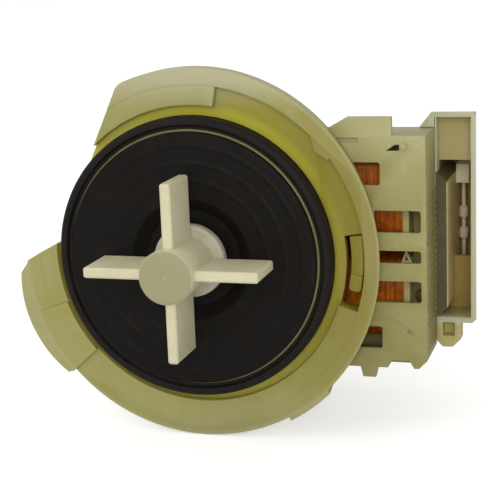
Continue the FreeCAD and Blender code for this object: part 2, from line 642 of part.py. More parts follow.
def seal_ring():
    """Rubber ring on the spigot, with bevelled outer edges."""
    land = "spigot_radius + seat_gap"
    return turned("seal_ring", [
        (land, "-spigot_reach"),
        ("seal_radius - seal_round", "-spigot_reach"),
        ("seal_radius", "seal_round - spigot_reach"),
        ("seal_radius", "web_sink - seal_round"),
        ("seal_radius - seal_round", "web_sink"),
        (land, "web_sink"),
    ])


def front_plate():
    """Black plate that closes the rotor chamber: dished, ridged, with the seal pocket and bearing boss."""
    front = "-spigot_reach - plate_proud"
    skirt = SPIGOT_BORE + " - fit_gap"
    skirt_end = "web_sink - ring_section - 2 * seat_gap"
    pocket = "lip_radius + seat_gap"
    passage = "shaft_radius + passage_gap"
    holder = "boss_end - bush_length"
    corners = [
        (pocket, DISH_Y),
        (pocket, DISH_Y + " + lip_length"),
        (passage, DISH_Y + " + lip_length"),
        (passage, holder),
        ("holder_bore", holder),
        ("holder_bore", "boss_end"),
        ("boss_radius", "boss_end"),
        ("boss_radius", DISH_Y + " + plate_wall"),
        ("dish_radius", DISH_Y + " + plate_wall"),
        ("dish_radius + plate_wall", front + " + plate_wall"),
        (skirt + " - skirt_wall", front + " + plate_wall"),
        (skirt + " - skirt_wall", skirt_end),
        (skirt, skirt_end),
        (skirt, "-spigot_reach"),
        (PLATE_RADIUS, "-spigot_reach"),
        (PLATE_RADIUS, front),
    ]
    for number in range(int(size("ridge_count"))):
        ridge = "%s - ridge_margin - %d * ridge_pitch" % (PLATE_RADIUS, number)
        corners.append((ridge + " + ridge_width / 2", front))
        corners.append((ridge, front + " - ridge_height"))
        corners.append((ridge + " - ridge_width / 2", front))
    corners.append(("dish_radius", front))
    corners.append(("dish_floor", DISH_Y))
    return turned("front_plate", corners)


def chamber_seal():
    """Ring of square section between the front plate's skirt and the flange's web."""
    outer = SPIGOT_BORE + " - fit_gap"
    return turned("chamber_seal", [
        (outer + " - ring_section", "web_sink - seat_gap - ring_section"),
        (outer, "web_sink - seat_gap - ring_section"),
        (outer, "web_sink - seat_gap"),
        (outer + " - ring_section", "web_sink - seat_gap"),
    ])


def shaft_seal():
    """Lip seal in the middle of the front plate."""
    lip = "shaft_radius + fit_gap"
    return turned("shaft_seal", [
        (lip, "0"),
        ("lip_radius", "0"),
        ("lip_radius", "lip_length - seat_gap"),
        ("lip_radius - lip_rim", "lip_length - seat_gap"),
        ("lip_radius - lip_root", "lip_length / 2"),
        (lip, "lip_length / 4"),
    ], DISH_Y)


def bearing(prefix, start, lip_first):
    """Bush in its rubber seat; the seat's lip is at the closed end of the holder."""
    lip_y = "0" if lip_first else "bush_length - seat_lip"
    inner = "bush_radius + seat_gap"
    outer = "holder_bore - seat_gap"
    held = "bush_radius - seat_hold"
    far = "bush_length"
    if lip_first:
        corners = [(held, "0"), (outer, "0"), (outer, far), (inner, far), (inner, "seat_lip"),
                   (held, "seat_lip")]
    else:
        corners = [(inner, "0"), (outer, "0"), (outer, far), (held, far), (held, lip_y), (inner, lip_y)]
    seat = turned(prefix + "_bearing_seat", corners, start)
    bush_start = start + " + seat_lip" if lip_first else start
    bush = turned(prefix + "_bearing", [
        (SHAFT_HOLE, "0"),
        ("bush_radius", "0"),
        ("bush_radius", "bush_length - seat_lip"),
        (SHAFT_HOLE, "bush_length - seat_lip"),
    ], bush_start)
    return [seat, bush]


def thrust_washer(label, place):
    """Loose washer that takes the rotor's end thrust."""
    return turned(label, [
        ("shaft_radius + fit_gap", "0"),
        ("washer_radius", "0"),
        ("washer_radius", "washer_thick"),
        ("shaft_radius + fit_gap", "washer_thick"),
    ], place)


def rotor():
    """Shaft, magnet and the carrier that joins them, with a thrust washer at each end."""
    nose = "-(%s + dog_length + fit_gap * 3 + shaft_entry)" % DOG_START
    tail = HOLDER_END + " - fit_gap * 3"
    shaft = turned("rotor_shaft", [
        ("0", nose),
        ("shaft_radius - shaft_bevel", nose),
        ("shaft_radius", nose + " + shaft_bevel"),
        ("shaft_radius", tail + " - shaft_bevel"),
        ("shaft_radius - shaft_bevel", tail),
        ("0", tail),
    ])
    bore = "shaft_radius + seat_gap"
    start = "boss_end + washer_thick + end_play"
    end = "can_floor - washer_thick - end_play"
    carrier = turned("magnet_carrier", [
        (bore, start),
        ("carrier_radius", start),
        ("carrier_radius", MAGNET_START + " - carrier_rim"),
        ("carrier_flange", MAGNET_START + " - carrier_rim"),
        ("carrier_flange", MAGNET_START),
        ("carrier_radius", MAGNET_START),
        ("carrier_radius", MAGNET_END),
        ("carrier_flange", MAGNET_END),
        ("carrier_flange", MAGNET_END + " + carrier_rim"),
        ("carrier_radius", MAGNET_END + " + carrier_rim"),
        ("carrier_radius", end),
        (bore, end),
    ])
    magnet = turned("rotor_magnet", [
        ("carrier_radius + seat_gap", "0"),
        ("magnet_radius", "0"),
        ("magnet_radius", "magnet_length"),
        ("carrier_radius + seat_gap", "magnet_length"),
    ], MAGNET_START)
    front = thrust_washer("front_thrust_washer", "boss_end + end_play / 2")
    rear = thrust_washer("rear_thrust_washer", "can_floor - washer_thick - end_play / 2")
    return [shaft, carrier, magnet, front, rear]


def impeller():
    """Four straight blades on a hollow hub; a key inside the hub is what the drive dog pushes."""
    body = new_body("impeller")
    cavity = "-(%s + dog_length + fit_gap * 3)" % DOG_START
    profile = new_sketch(body, "hub_profile", "XY_Plane")
    outline(profile, [
        ("0", "-hub_reach"),
        ("hub_radius", "-hub_reach"),
        ("hub_radius", "-cap_front"),
        (HUB_CAVITY, "-cap_front"),
        (HUB_CAVITY, cavity),
        (SHAFT_HOLE, cavity),
        (SHAFT_HOLE, cavity + " - shaft_entry - fit_gap * 3"),
        ("0", cavity + " - shaft_entry - fit_gap * 3"),
    ])
    revolve(body, "hub_turned", profile)
    hub_front, root = size("-hub_reach"), size("hub_radius")
    chamfer(body, "hub_edge", "hub_round", lambda edge: is_round(edge, root, hub_front))
    gate = new_sketch(body, "gate_mark", "XZ_Plane", from_y("(-hub_reach)"))
    circle(gate, "0", "0", "gate_radius")
    pocket_back(body, "gate_mark_pocket", gate, "gate_depth")
    key = new_sketch(body, "hub_key", "XZ_Plane", from_y("(%s - bite)" % cavity))
    key_inner, key_outer = "dog_collar + bite", HUB_CAVITY + " + bite"
    outline(key, ring_sector(key_inner, key_outer, "90 - key_angle / 2", "90 + key_angle / 2"))
    pad_back(body, "hub_key_pad", key, "dog_length + bite + fit_gap * 3")
    blade = new_sketch(body, "blade_section", "XZ_Plane", from_y("(-blade_front)"))
    rectangle(blade, "-blade_thick / 2", "hub_radius - sink", "blade_thick / 2", "blade_radius")
    first = pad_back(body, "blade", blade, "blade_front - blade_back")
    pattern = body.newObject("PartDesign::PolarPattern", "blades")
    pattern.Originals = [first]
    pattern.Axis = (origin_plane(body, "Y_Axis"), [""])
    pattern.Angle = 360
    pattern.setExpression("Occurrences", bound("blade_count"))
    body.Tip = pattern
    DOC.recompute()
    front_y, back_y = size("-blade_front"), size("-blade_back")
    tip = size("blade_radius")
    chamfer(body, "blade_edges", "blade_round", lambda edge: on_blade_rim(edge, front_y, back_y, root, tip))
    return body


def on_blade_rim(edge, front_y, back_y, root, tip):
    """Whether an edge lies on the outline of a blade, away from its root on the hub."""
    if not isinstance(edge.Curve, (Part.Line, Part.LineSegment)):
        return False
    points = [vertex.Point for vertex in edge.Vertexes]
    if any(point.y < front_y - 0.01 or point.y > back_y + 0.01 for point in points):
        return False
    radii = [math.hypot(point.x, point.z) for point in points]
    along_y = abs(points[0].y - points[1].y) > 1.0
    return min(radii) > tip - 0.01 if along_y else max(radii) > tip - 0.01


def coupling():
    """Cap that closes the hub, drive dog on the shaft and rubber pads beside the key."""
    cap = turned("coupling_cap", [
        (SHAFT_HOLE + " + seat_gap", "-cap_front - spigot_in_hub"),
        (HUB_CAVITY + " - seat_gap", "-cap_front - spigot_in_hub"),
        (HUB_CAVITY + " - seat_gap", "-cap_front"),
        ("cap_radius", "-cap_front"),
        ("cap_radius", "-cap_front + cap_thick"),
        (SHAFT_HOLE + " + seat_gap", "-cap_front + cap_thick"),
    ])
    rim, front_y = size("cap_radius"), size("-cap_front")
    chamfer(cap, "cap_edge", "cap_round", lambda edge: is_round(edge, rim, front_y))

    dog = new_body("drive_dog")
    back = "-(%s + dog_length)" % DOG_START
    collar = new_sketch(dog, "dog_collar_sketch", "XZ_Plane", from_y(back))
    circle(collar, "0", "0", "dog_collar")
    pad_back(dog, "dog_collar_pad", collar, "dog_length")
    arm = new_sketch(dog, "dog_arm", "XZ_Plane", from_y(back))
    reach = HUB_CAVITY + " - fit_gap * 3"
    outline(arm, ring_sector("dog_collar - bite", reach, "270 - dog_angle / 2", "270 + dog_angle / 2"))
    pad_back(dog, "dog_arm_pad", arm, "dog_length")
    bore = new_sketch(dog, "dog_bore", "XZ_Plane", from_y(back))
    circle(bore, "0", "0", "shaft_radius + seat_gap")
    pocket_back(dog, "dog_bore_pocket", bore, "dog_length")

    pads = []
    for name, start in (("left_pad", "90 + key_angle / 2"), ("right_pad", "90 - key_angle / 2 - buffer_angle")):
        pad = new_body(name)
        sketch = new_sketch(pad, name + "_sketch", "XZ_Plane", from_y(back))
        inner, outer = "dog_collar + fit_gap * 3", HUB_CAVITY + " - seat_gap"
        outline(sketch, ring_sector(inner, outer, start, start + " + buffer_angle"))
        pad_back(pad, name + "_pad", sketch, "dog_length")
        pads.append(pad)
    return [cap, dog, gathered("dog_buffers", pads)]


def gathered(label, pieces):
    """One node of several separate solids."""
    group = DOC.addObject("Part::Compound", label)
    group.Label = label
    group.Links = pieces
    DOC.recompute()
    return group


def rod(name, parts, x, z):
    """Turned rod parallel to Y, fused from cylinders given as (radius, start, length)."""
    cylinders = []
    for number, (radius, start, length) in enumerate(parts, start=1):
        cylinder = DOC.addObject("Part::Cylinder", "%s_%d" % (name, number))
        cylinder.setExpression("Radius", bound(radius))
        cylinder.setExpression("Height", bound(length))
        cylinder.Placement = FreeCAD.Placement(V(0, 0, 0), FreeCAD.Rotation(V(1, 0, 0), -90))
        cylinder.setExpression("Placement.Base.x", bound(x))
        cylinder.setExpression("Placement.Base.y", bound(start))
        cylinder.setExpression("Placement.Base.z", bound(z))
        cylinders.append(cylinder)
    fused = DOC.addObject("Part::MultiFuse", name)
    fused.Shapes = cylinders
    DOC.recompute()
    return fused


def rivet_spots():
    """Centres of the core's rivets in the XZ plane."""
    ring = "(%s - pole_ring / 2)" % POLE_RADIUS
    base = "((%s + %s) / 2)" % (BASE_LEFT, COVER_INNER)
    return [(base, LEG_MIDDLE), (base, "-" + LEG_MIDDLE), ("0", ring), ("0", "-" + ring)]


def stator():
    """U-shaped laminated core round the rotor can, with its rivets."""
    body = new_body("stator_core")
    half = "(pole_split / 2)"
    outer_x = "sqrt(%s * %s - %s * %s)" % (POLE_RADIUS, POLE_RADIUS, half, half)
    bore_x = "sqrt(%s * %s - %s * %s)" % (BORE_RADIUS, BORE_RADIUS, half, half)
    shoulder = "sqrt(%s * %s - core_half * core_half)" % (POLE_RADIUS, POLE_RADIUS)
    tip = BORE_RADIUS + " + tip_width"
    upper = [
        ("core_end", "core_half - core_chamfer"),
        ("core_end - core_chamfer", "core_half"),
        (shoulder, "core_half", 1),
        ("-" + outer_x, half),
        ("-" + bore_x, half, -1),
        (bore_x, half),
        (tip, half),
        (tip + " + tip_width", LEG_LOW),
        (BASE_LEFT, LEG_LOW),
    ]
    lower = [
        (BASE_LEFT, "-" + LEG_LOW),
        (tip + " + tip_width", "-" + LEG_LOW),
        (tip, "-" + half),
        (bore_x, "-" + half, -1),
        ("-" + bore_x, "-" + half),
        ("-" + outer_x, "-" + half, 1),
        (shoulder, "-core_half"),
        ("core_end - core_chamfer", "-core_half"),
        ("core_end", "core_chamfer - core_half"),
    ]
    sheet = new_sketch(body, "lamination", "XZ_Plane", from_y("core_front"))
    outline(sheet, upper + lower)
    pad_back(body, "lamination_stack", sheet, "core_depth")
    for number, (x, z) in enumerate(rivet_spots(), start=1):
        hole = new_sketch(body, "rivet_hole_%d" % number, "XZ_Plane", from_y("core_front"))
        circle(hole, x, z, "rivet_radius + seat_gap")
        pocket_back(body, "rivet_hole_%d_pocket" % number, hole, "core_depth")
    rivets = [rod("rivet_%d" % number, [
        ("rivet_radius", "core_front - rivet_rise", "core_depth + 2 * rivet_rise"),
        ("rivet_head", "core_front - rivet_rise", "rivet_rise"),
        ("rivet_head", CORE_BACK, "rivet_rise"),
    ], x, z) for number, (x, z) in enumerate(rivet_spots(), start=1)]
    return [body, gathered("core_rivets", rivets)]


def frame_box(body, name, start, length, half_y, half_z, middle_z):
    """Sketch of a rectangle round a leg's axis, seen along X, padded over a length from a place along X."""
    sketch = new_sketch(body, name + "_sketch", "YZ_Plane", start)
    low_y = "%s - %s" % (CORE_MIDDLE, half_y)
    high_y = "%s + %s" % (CORE_MIDDLE, half_y)
    rectangle(sketch, low_y, "%s - %s" % (middle_z, half_z), high_y, "%s + %s" % (middle_z, half_z))
    return pad_back(body, name, sketch, length)


def leg_bore(body, name, start, length, half_y, half_z, middle_z):
    """Rectangular bore round a leg's axis, cut over a length from a place along X."""
    sketch = new_sketch(body, name + "_sketch", "YZ_Plane", start)
    low_y = "%s - %s" % (CORE_MIDDLE, half_y)
    high_y = "%s + %s" % (CORE_MIDDLE, half_y)
    rectangle(sketch, low_y, "%s - %s" % (middle_z, half_z), high_y, "%s + %s" % (middle_z, half_z))
    return pocket_back(body, name, sketch, length)


def bobbin(label, middle_z):
    """Former on one leg of the core, with an end flange at each end."""
    body = new_body(label)
    rim_y = "(%s + winding + rim_margin)" % FORMER_Y
    rim_z = "(%s + winding + rim_margin)" % FORMER_Z
    length = "%s - bobbin_start" % BOBBIN_END
    frame_box(body, "inner_flange", "bobbin_start", "bobbin_rim", rim_y, rim_z, middle_z)
    frame_box(body, "former", "bobbin_start", length, FORMER_Y, FORMER_Z, middle_z)
    frame_box(body, "outer_flange", BOBBIN_END + " - bobbin_rim", "bobbin_rim", rim_y, rim_z, middle_z)
    leg_bore(body, "leg_bore", "bobbin_start", length, "(core_depth / 2 + bobbin_gap)",
             "(leg_width / 2 + bobbin_gap)", middle_z)
    return body


def winding_path(side):
    """Corners of the outer layer's wire as (point, bend radius): from one end flange to the other.

    The wire climbs at a steady rate round the four sides, so every bend lies in the plane of its two runs."""
    start = size("bobbin_start + bobbin_rim")
    stop = size(BOBBIN_END + " - bobbin_rim")
    half_y = size(FORMER_Y + " + winding - wire_radius")
    half_z = size(FORMER_Z + " + winding - wire_radius")
    middle_y, middle_z = size(CORE_MIDDLE), side * size(LEG_MIDDLE)
    lead = size("2 * wire_radius + lead_bend")
    bend = size("wire_bend + wire_radius + seat_gap")
    turns = int(size("wire_turns"))
    rate = (stop - start - 2 * lead) / (turns * 4 * (half_y + half_z))
    flat = [(half_y, 0.0)]
    for turn in range(turns):
        flat += [(half_y, half_z), (-half_y, half_z), (-half_y, -half_z), (half_y, -half_z)]
    flat.append((half_y, 0.0))
    path = [(V(start, middle_y + half_y, middle_z), 0.0)]
    x = start + lead
    before = flat[0]
    for number, (y, z) in enumerate(flat):
        x += rate * (abs(y - before[0]) + abs(z - before[1]))
        before = (y, z)
        radius = size("lead_bend") if number in (0, len(flat) - 1) else bend
        path.append((V(x, middle_y + y, middle_z + side * z), radius))
    path.append((V(stop, middle_y + half_y, middle_z), 0.0))
    return path


def bent_wire(path):
    """Wire of straight runs joined by tangent arcs, and points along it with their distance from its start."""
    edges = []
    points = [path[0][0]]
    here = path[0][0]
    for number in range(1, len(path) - 1):
        corner, radius = path[number]
        arriving = (corner - path[number - 1][0]).normalize()
        leaving = (path[number + 1][0] - corner).normalize()
        half = arriving.getAngle(leaving) / 2
        back = radius * math.tan(half)
        first, last = corner - arriving * back, corner + leaving * back
        inward = (leaving - arriving).normalize()
        middle = corner + inward * (radius / math.cos(half) - radius)
        edges.append(Part.LineSegment(here, first).toShape())
        edges.append(Part.Arc(first, middle, last).toShape())
        points += [first, middle, last]
        here = last
    edges.append(Part.LineSegment(here, path[-1][0]).toShape())
    points.append(path[-1][0])
    return Part.Wire(edges), points


def least_gap(points, radius):
    """Least gap of a round wire to itself, between runs at least half a turn apart along it."""
    apart = 6
    least = None
    for number, point in enumerate(points):
        for other in range(number + apart, min(len(points) - 1, number + 4 * apart)):
            first, last = points[other], points[other + 1]
            run = last - first
            share = max(0.0, min(1.0, (point - first).dot(run) / run.dot(run)))
            distance = (first + run * share - point).Length
            if least is None or distance < least:
                least = distance
    return least - 2 * radius


def coil(label, side):
    """Winding on one bobbin: a plain core of wire and, over it, the outer layer as one unbroken wire."""
    middle_z = LEG_MIDDLE if side > 0 else "-" + LEG_MIDDLE
    core = new_body(label + "_core")
    start = "bobbin_start + bobbin_rim"
    length = "%s - bobbin_rim - bobbin_start - bobbin_rim" % BOBBIN_END
    depth = "winding - 2 * wire_radius - seat_gap"
    half_y = "(%s + %s)" % (FORMER_Y, depth)
    half_z = "(%s + %s)" % (FORMER_Z, depth)
    frame_box(core, "layers", start, length, half_y, half_z, middle_z)
    fillet(core, "layer_corners", "wire_bend", lambda edge: abs(edge.tangentAt(edge.FirstParameter).x) > 0.99)
    bore_y, bore_z = "(%s + seat_gap)" % FORMER_Y, "(%s + seat_gap)" % FORMER_Z
    leg_bore(core, "layer_bore", start, length, bore_y, bore_z, middle_z)

    path = winding_path(side)
    spine, points = bent_wire(path)
    radius = size("wire_radius")
    turns_of_ring = [math.pi / 4 + corner * math.pi / 2 for corner in range(5)]
    ring = Part.makePolygon([path[0][0] + V(0, radius * math.cos(turn), radius * math.sin(turn))
                             for turn in turns_of_ring])
    tube = spine.makePipeShell([ring], True, False)
    section = 2 * radius ** 2
    gap = least_gap(points, radius)
    print("%s: %d turns, wire %.1f mm, length %.0f mm, least gap %.3f mm, volume share %.4f"
          % (label, size("wire_turns"), 2 * radius, spine.Length, gap,
             tube.Volume / (spine.Length * section)))
    if gap <= 0.4:
        raise RuntimeError("the turns of %s lie %.3f mm apart" % (label, gap))
    turns = DOC.addObject("Part::Feature", label + "_turns")
    turns.Shape = tube
    return gathered(label, [core, turns])


def coil_cover():
    """Front moulding over the coils: open at the back, with windows, crest, tooth, notch and side ribs."""
    body = new_body("coil_cover")
    face = new_sketch(body, "cover_outline", "XZ_Plane", from_y("flange_thick"))
    outline(face, [
        ("cover_left", "-cover_low"),
        ("cover_right - drip_cut", "-cover_low"),
        ("cover_right", "drip_cut - cover_low"),
        ("cover_right", "cover_top"),
        ("cover_left", "cover_top"),
    ])
    depth = "core_front - flange_thick"
    pad_back(body, "cover_block", face, depth)
    crest = new_sketch(body, "crest", "XZ_Plane", from_y("flange_thick"))
    outline(crest, [
        ("crest_right", "cover_top - cover_wall"),
        ("crest_right", "crest_top"),
        ("crest_left", "crest_top"),
        ("slope_left", "slope_low"),
        ("slope_left", "cover_top - cover_wall"),
    ])
    pad_back(body, "crest_pad", crest, "crest_depth")
    tooth = new_sketch(body, "tooth", "XZ_Plane", from_y("flange_thick"))
    outline(tooth, [
        ("tooth_left", "-tooth_low"),
        ("tooth_left + tooth_width", "-tooth_low"),
        ("tooth_left + tooth_width + tooth_flare", "-cover_low"),
        ("tooth_left + tooth_width + tooth_flare", "cover_wall - cover_low"),
        ("tooth_left - tooth_flare", "cover_wall - cover_low"),
        ("tooth_left - tooth_flare", "-cover_low"),
    ])
    pad_back(body, "tooth_pad", tooth, "crest_depth")
    inside = new_sketch(body, "cover_inside", "XZ_Plane", from_y("(flange_thick + cover_wall)"))
    outline(inside, [
        ("cover_left - past", "cover_wall - cover_low"),
        (COVER_INNER + " - drip_cut", "cover_wall - cover_low"),
        (COVER_INNER, "cover_wall + drip_cut - cover_low"),
        (COVER_INNER, "cover_top - cover_wall"),
        ("cover_left - past", "cover_top - cover_wall"),
    ])
    pocket_back(body, "cover_hollow", inside, depth + " - cover_wall")

    opening = new_sketch(body, "front_opening", "XZ_Plane", from_y("flange_thick"))
    rectangle(opening, "cover_left - past", "-gap_half", "bar_left", "gap_half")
    pocket_back(body, "front_opening_pocket", opening, "cover_wall")
    panes = [
        ("window_left", "-slit_half", COVER_INNER, "slit_half"),
        ("window_left", "pane_low", COVER_INNER, "pane_high"),
        ("window_left", "-pane_high", COVER_INNER, "-pane_low"),
        ("port_left", "port_low", "window_near", "port_high"),
        ("port_left", "-port_high", "window_near", "-port_low"),
    ]
    for number, (left, low, right, high) in enumerate(panes, start=1):
        pane = new_sketch(body, "window_%d" % number, "XZ_Plane", from_y("flange_thick"))
        near, under, over = (place % side for place, side in (
            ("%s - corner_round", right), ("%s + corner_round", low), ("%s - corner_round", high)))
        outline(pane, [
            (left, low),
            (near, low, 1, near, under),
            (right, under),
            (right, over, 1, near, over),
            (near, high),
            (left, high),
        ])
        pocket_back(body, "window_%d_pocket" % number, pane, "cover_wall")
    vent = new_sketch(body, "vent", "XZ_Plane", from_y("flange_thick"))
    outline(vent, [
        ("vent_left", "vent_low"),
        ("vent_right", "vent_low"),
        ("vent_right", "vent_high"),
        ("(vent_left + 2 * vent_right) / 3", "vent_high"),
    ])
    pocket_back(body, "vent_pocket", vent, "cover_wall")

    groove_sketch = new_sketch(body, "crest_groove", "XZ_Plane", from_y("flange_thick"))
    rectangle(groove_sketch, "groove_left", "groove_z - groove_half", "groove_left + groove_width",
              "groove_z + groove_half")
    pocket_back(body, "crest_groove_pocket", groove_sketch, "groove_depth")
    dimple = new_sketch(body, "dimple", "XZ_Plane", from_y("flange_thick"))
    circle(dimple, "dimple_x", "-dimple_z", "dimple_radius")
    pocket_back(body, "dimple_pocket", dimple, "dimple_depth")
    peg = new_sketch(body, "peg", "XZ_Plane", from_y("(flange_thick - peg_rise)"))
    circle(peg, "peg_x", "peg_z", "peg_radius")
    pad_back(body, "peg_pad", peg, "peg_rise + cover_wall / 2")

    block = new_sketch(body, "notch_block", "XZ_Plane", from_y("flange_thick"))
    rectangle(block, "notch_left - cover_wall", "-cover_low", "notch_left + notch_width + cover_wall",
              "notch_rise + cover_wall - cover_low")
    pad_back(body, "notch_block_pad", block, "notch_depth + cover_wall")
    notch = new_sketch(body, "notch", "XZ_Plane", from_y("flange_thick"))
    outline(notch, [
        ("notch_left - notch_flare", "-cover_low - past"),
        ("notch_left + notch_width + notch_flare", "-cover_low - past"),
        ("notch_left + notch_width + notch_flare", "-cover_low"),
        ("notch_left + notch_width", "notch_rise - cover_low"),
        ("notch_left", "notch_rise - cover_low"),
        ("notch_left - notch_flare", "-cover_low"),
    ])
    pocket_back(body, "notch_pocket", notch, "notch_depth")

    rib = new_sketch(body, "side_rib", "XZ_Plane", from_y("flange_thick"))
    outline(rib, [
        ("cover_right - serration_rise", "serration_low - serration / 3"),
        ("cover_right", "serration_low - serration / 3"),
        ("cover_right + serration_rise", "serration_low"),
        ("cover_right", "serration_low + serration / 3"),
        ("cover_right - serration_rise", "serration_low + serration / 3"),
    ])
    first = pad_back(body, "side_rib_pad", rib, depth)
    pattern = body.newObject("PartDesign::LinearPattern", "side_ribs")
    pattern.Originals = [first]
    pattern.Direction = (origin_plane(body, "Z_Axis"), [""])
    pattern.setExpression("Length", bound("serration * (serration_count - 1)"))
    pattern.setExpression("Occurrences", bound("serration_count"))
    body.Tip = pattern
    DOC.recompute()
    return body


def rear_cover():
    """Shell behind the coil cover, round the poles and coils, held to the flange by three screws."""
    body = new_body("rear_cover")
    length = "rear_end - core_front"
    round_x = "sqrt(%s * %s - %s * %s)" % (SHELL_RADIUS, SHELL_RADIUS, SHELL_FLAT, SHELL_FLAT)
    face = new_sketch(body, "shell_outline", "XZ_Plane", from_y("core_front"))
    outline(face, [
        ("cover_right", "-shell_top"),
        ("cover_right", "shell_top"),
        ("cover_left", "shell_top"),
        ("cover_left", SHELL_FLAT),
        (round_x, SHELL_FLAT, 1),
        (round_x, "-" + SHELL_FLAT),
        ("cover_left", "-" + SHELL_FLAT),
        ("cover_left", "-shell_top"),
    ])
    pad_back(body, "shell_block", face, length)
    rear_y = size("rear_end")
    chamfer(body, "rear_edge", "cover_wall", lambda edge: lies_at(edge, rear_y))

    collar = new_sketch(body, "collar", "XZ_Plane", from_y("core_front"))
    rectangle(collar, "cover_left", "drip_cut - cover_low", "cover_right", "cover_top")
    pad_back(body, "collar_pad", collar, "cover_wall")

    inner_radius = "(%s - cover_wall)" % SHELL_RADIUS
    inner_flat = "(%s - cover_wall)" % SHELL_FLAT
    inner_x = "sqrt(%s * %s - %s * %s)" % (inner_radius, inner_radius, inner_flat, inner_flat)
    inside = new_sketch(body, "shell_inside", "XZ_Plane", from_y("core_front"))
    outline(inside, [
        (COVER_INNER, "cover_wall - shell_top"),
        (COVER_INNER, "shell_top - cover_wall"),
        ("cover_left + cover_wall", "shell_top - cover_wall"),
        ("cover_left + cover_wall", inner_flat),
        (inner_x, inner_flat, 1),
        (inner_x, "-" + inner_flat),
        ("cover_left + cover_wall", "-" + inner_flat),
        ("cover_left + cover_wall", "cover_wall - shell_top"),
    ])
    pocket_back(body, "shell_hollow", inside, length + " - cover_wall")
    slot = new_sketch(body, "core_slot", "XZ_Plane", from_y("core_front"))
    rectangle(slot, COVER_INNER + " - past", "-core_half - exit_gap", "cover_right + past",
              "core_half + exit_gap")
    pocket_back(body, "core_slot_pocket", slot, "core_depth + exit_gap")
    hole = new_sketch(body, "can_hole", "XZ_Plane", from_y("(rear_end - cover_wall)"))
    circle(hole, "0", "0", "holder_bore + end_wall + exit_gap")
    pocket_back(body, "can_hole_pocket", hole, "cover_wall")

    necks = [
        ("-screw_ring", "-screw_boss", "-(%s - cover_wall / 2)" % SHELL_RADIUS, "screw_boss"),
        ("screw_x - screw_boss", "%s - cover_wall / 2" % SHELL_FLAT, "screw_x + screw_boss", "screw_z"),
        ("screw_x - screw_boss", "-screw_z", "screw_x + screw_boss", "cover_wall / 2 - " + SHELL_FLAT),
    ]
    for number, (left, low, right, high) in enumerate(necks, start=1):
        neck = new_sketch(body, "ear_neck_%d" % number, "XZ_Plane", from_y("core_front"))
        rectangle(neck, left, low, right, high)
        pad_back(body, "ear_neck_%d_pad" % number, neck, "ear_thick")
    for number, (x, z) in enumerate(screw_spots(), start=1):
        ear = new_sketch(body, "ear_%d" % number, "XZ_Plane", from_y("core_front"))
        circle(ear, x, z, "screw_boss")
        pad_back(body, "ear_%d_pad" % number, ear, "ear_thick")
        bore = new_sketch(body, "ear_bore_%d" % number, "XZ_Plane", from_y("core_front"))
        circle(bore, x, z, "screw_radius + seat_gap")
        pocket_back(body, "ear_bore_%d_pocket" % number, bore, "ear_thick")
    return body


def lies_at(edge, y):
    """Whether both ends and the middle of an edge lie at a place along Y."""
    middle = edge.valueAt((edge.FirstParameter + edge.LastParameter) / 2)
    return abs(middle.y - y) < 0.01 and all(abs(vertex.Point.y - y) < 0.01 for vertex in edge.Vertexes)


def motor_screws():
    """Three screws through the ears of the rear cover into the flange's bosses."""
    screws = [rod("screw_%d" % number, [
        ("screw_radius", "core_front - screw_bite", "screw_bite + ear_thick"),
        ("screw_head", "core_front + ear_thick", "head_height"),
    ], x, z) for number, (x, z) in enumerate(screw_spots(), start=1)]
    return gathered("motor_screws", screws)


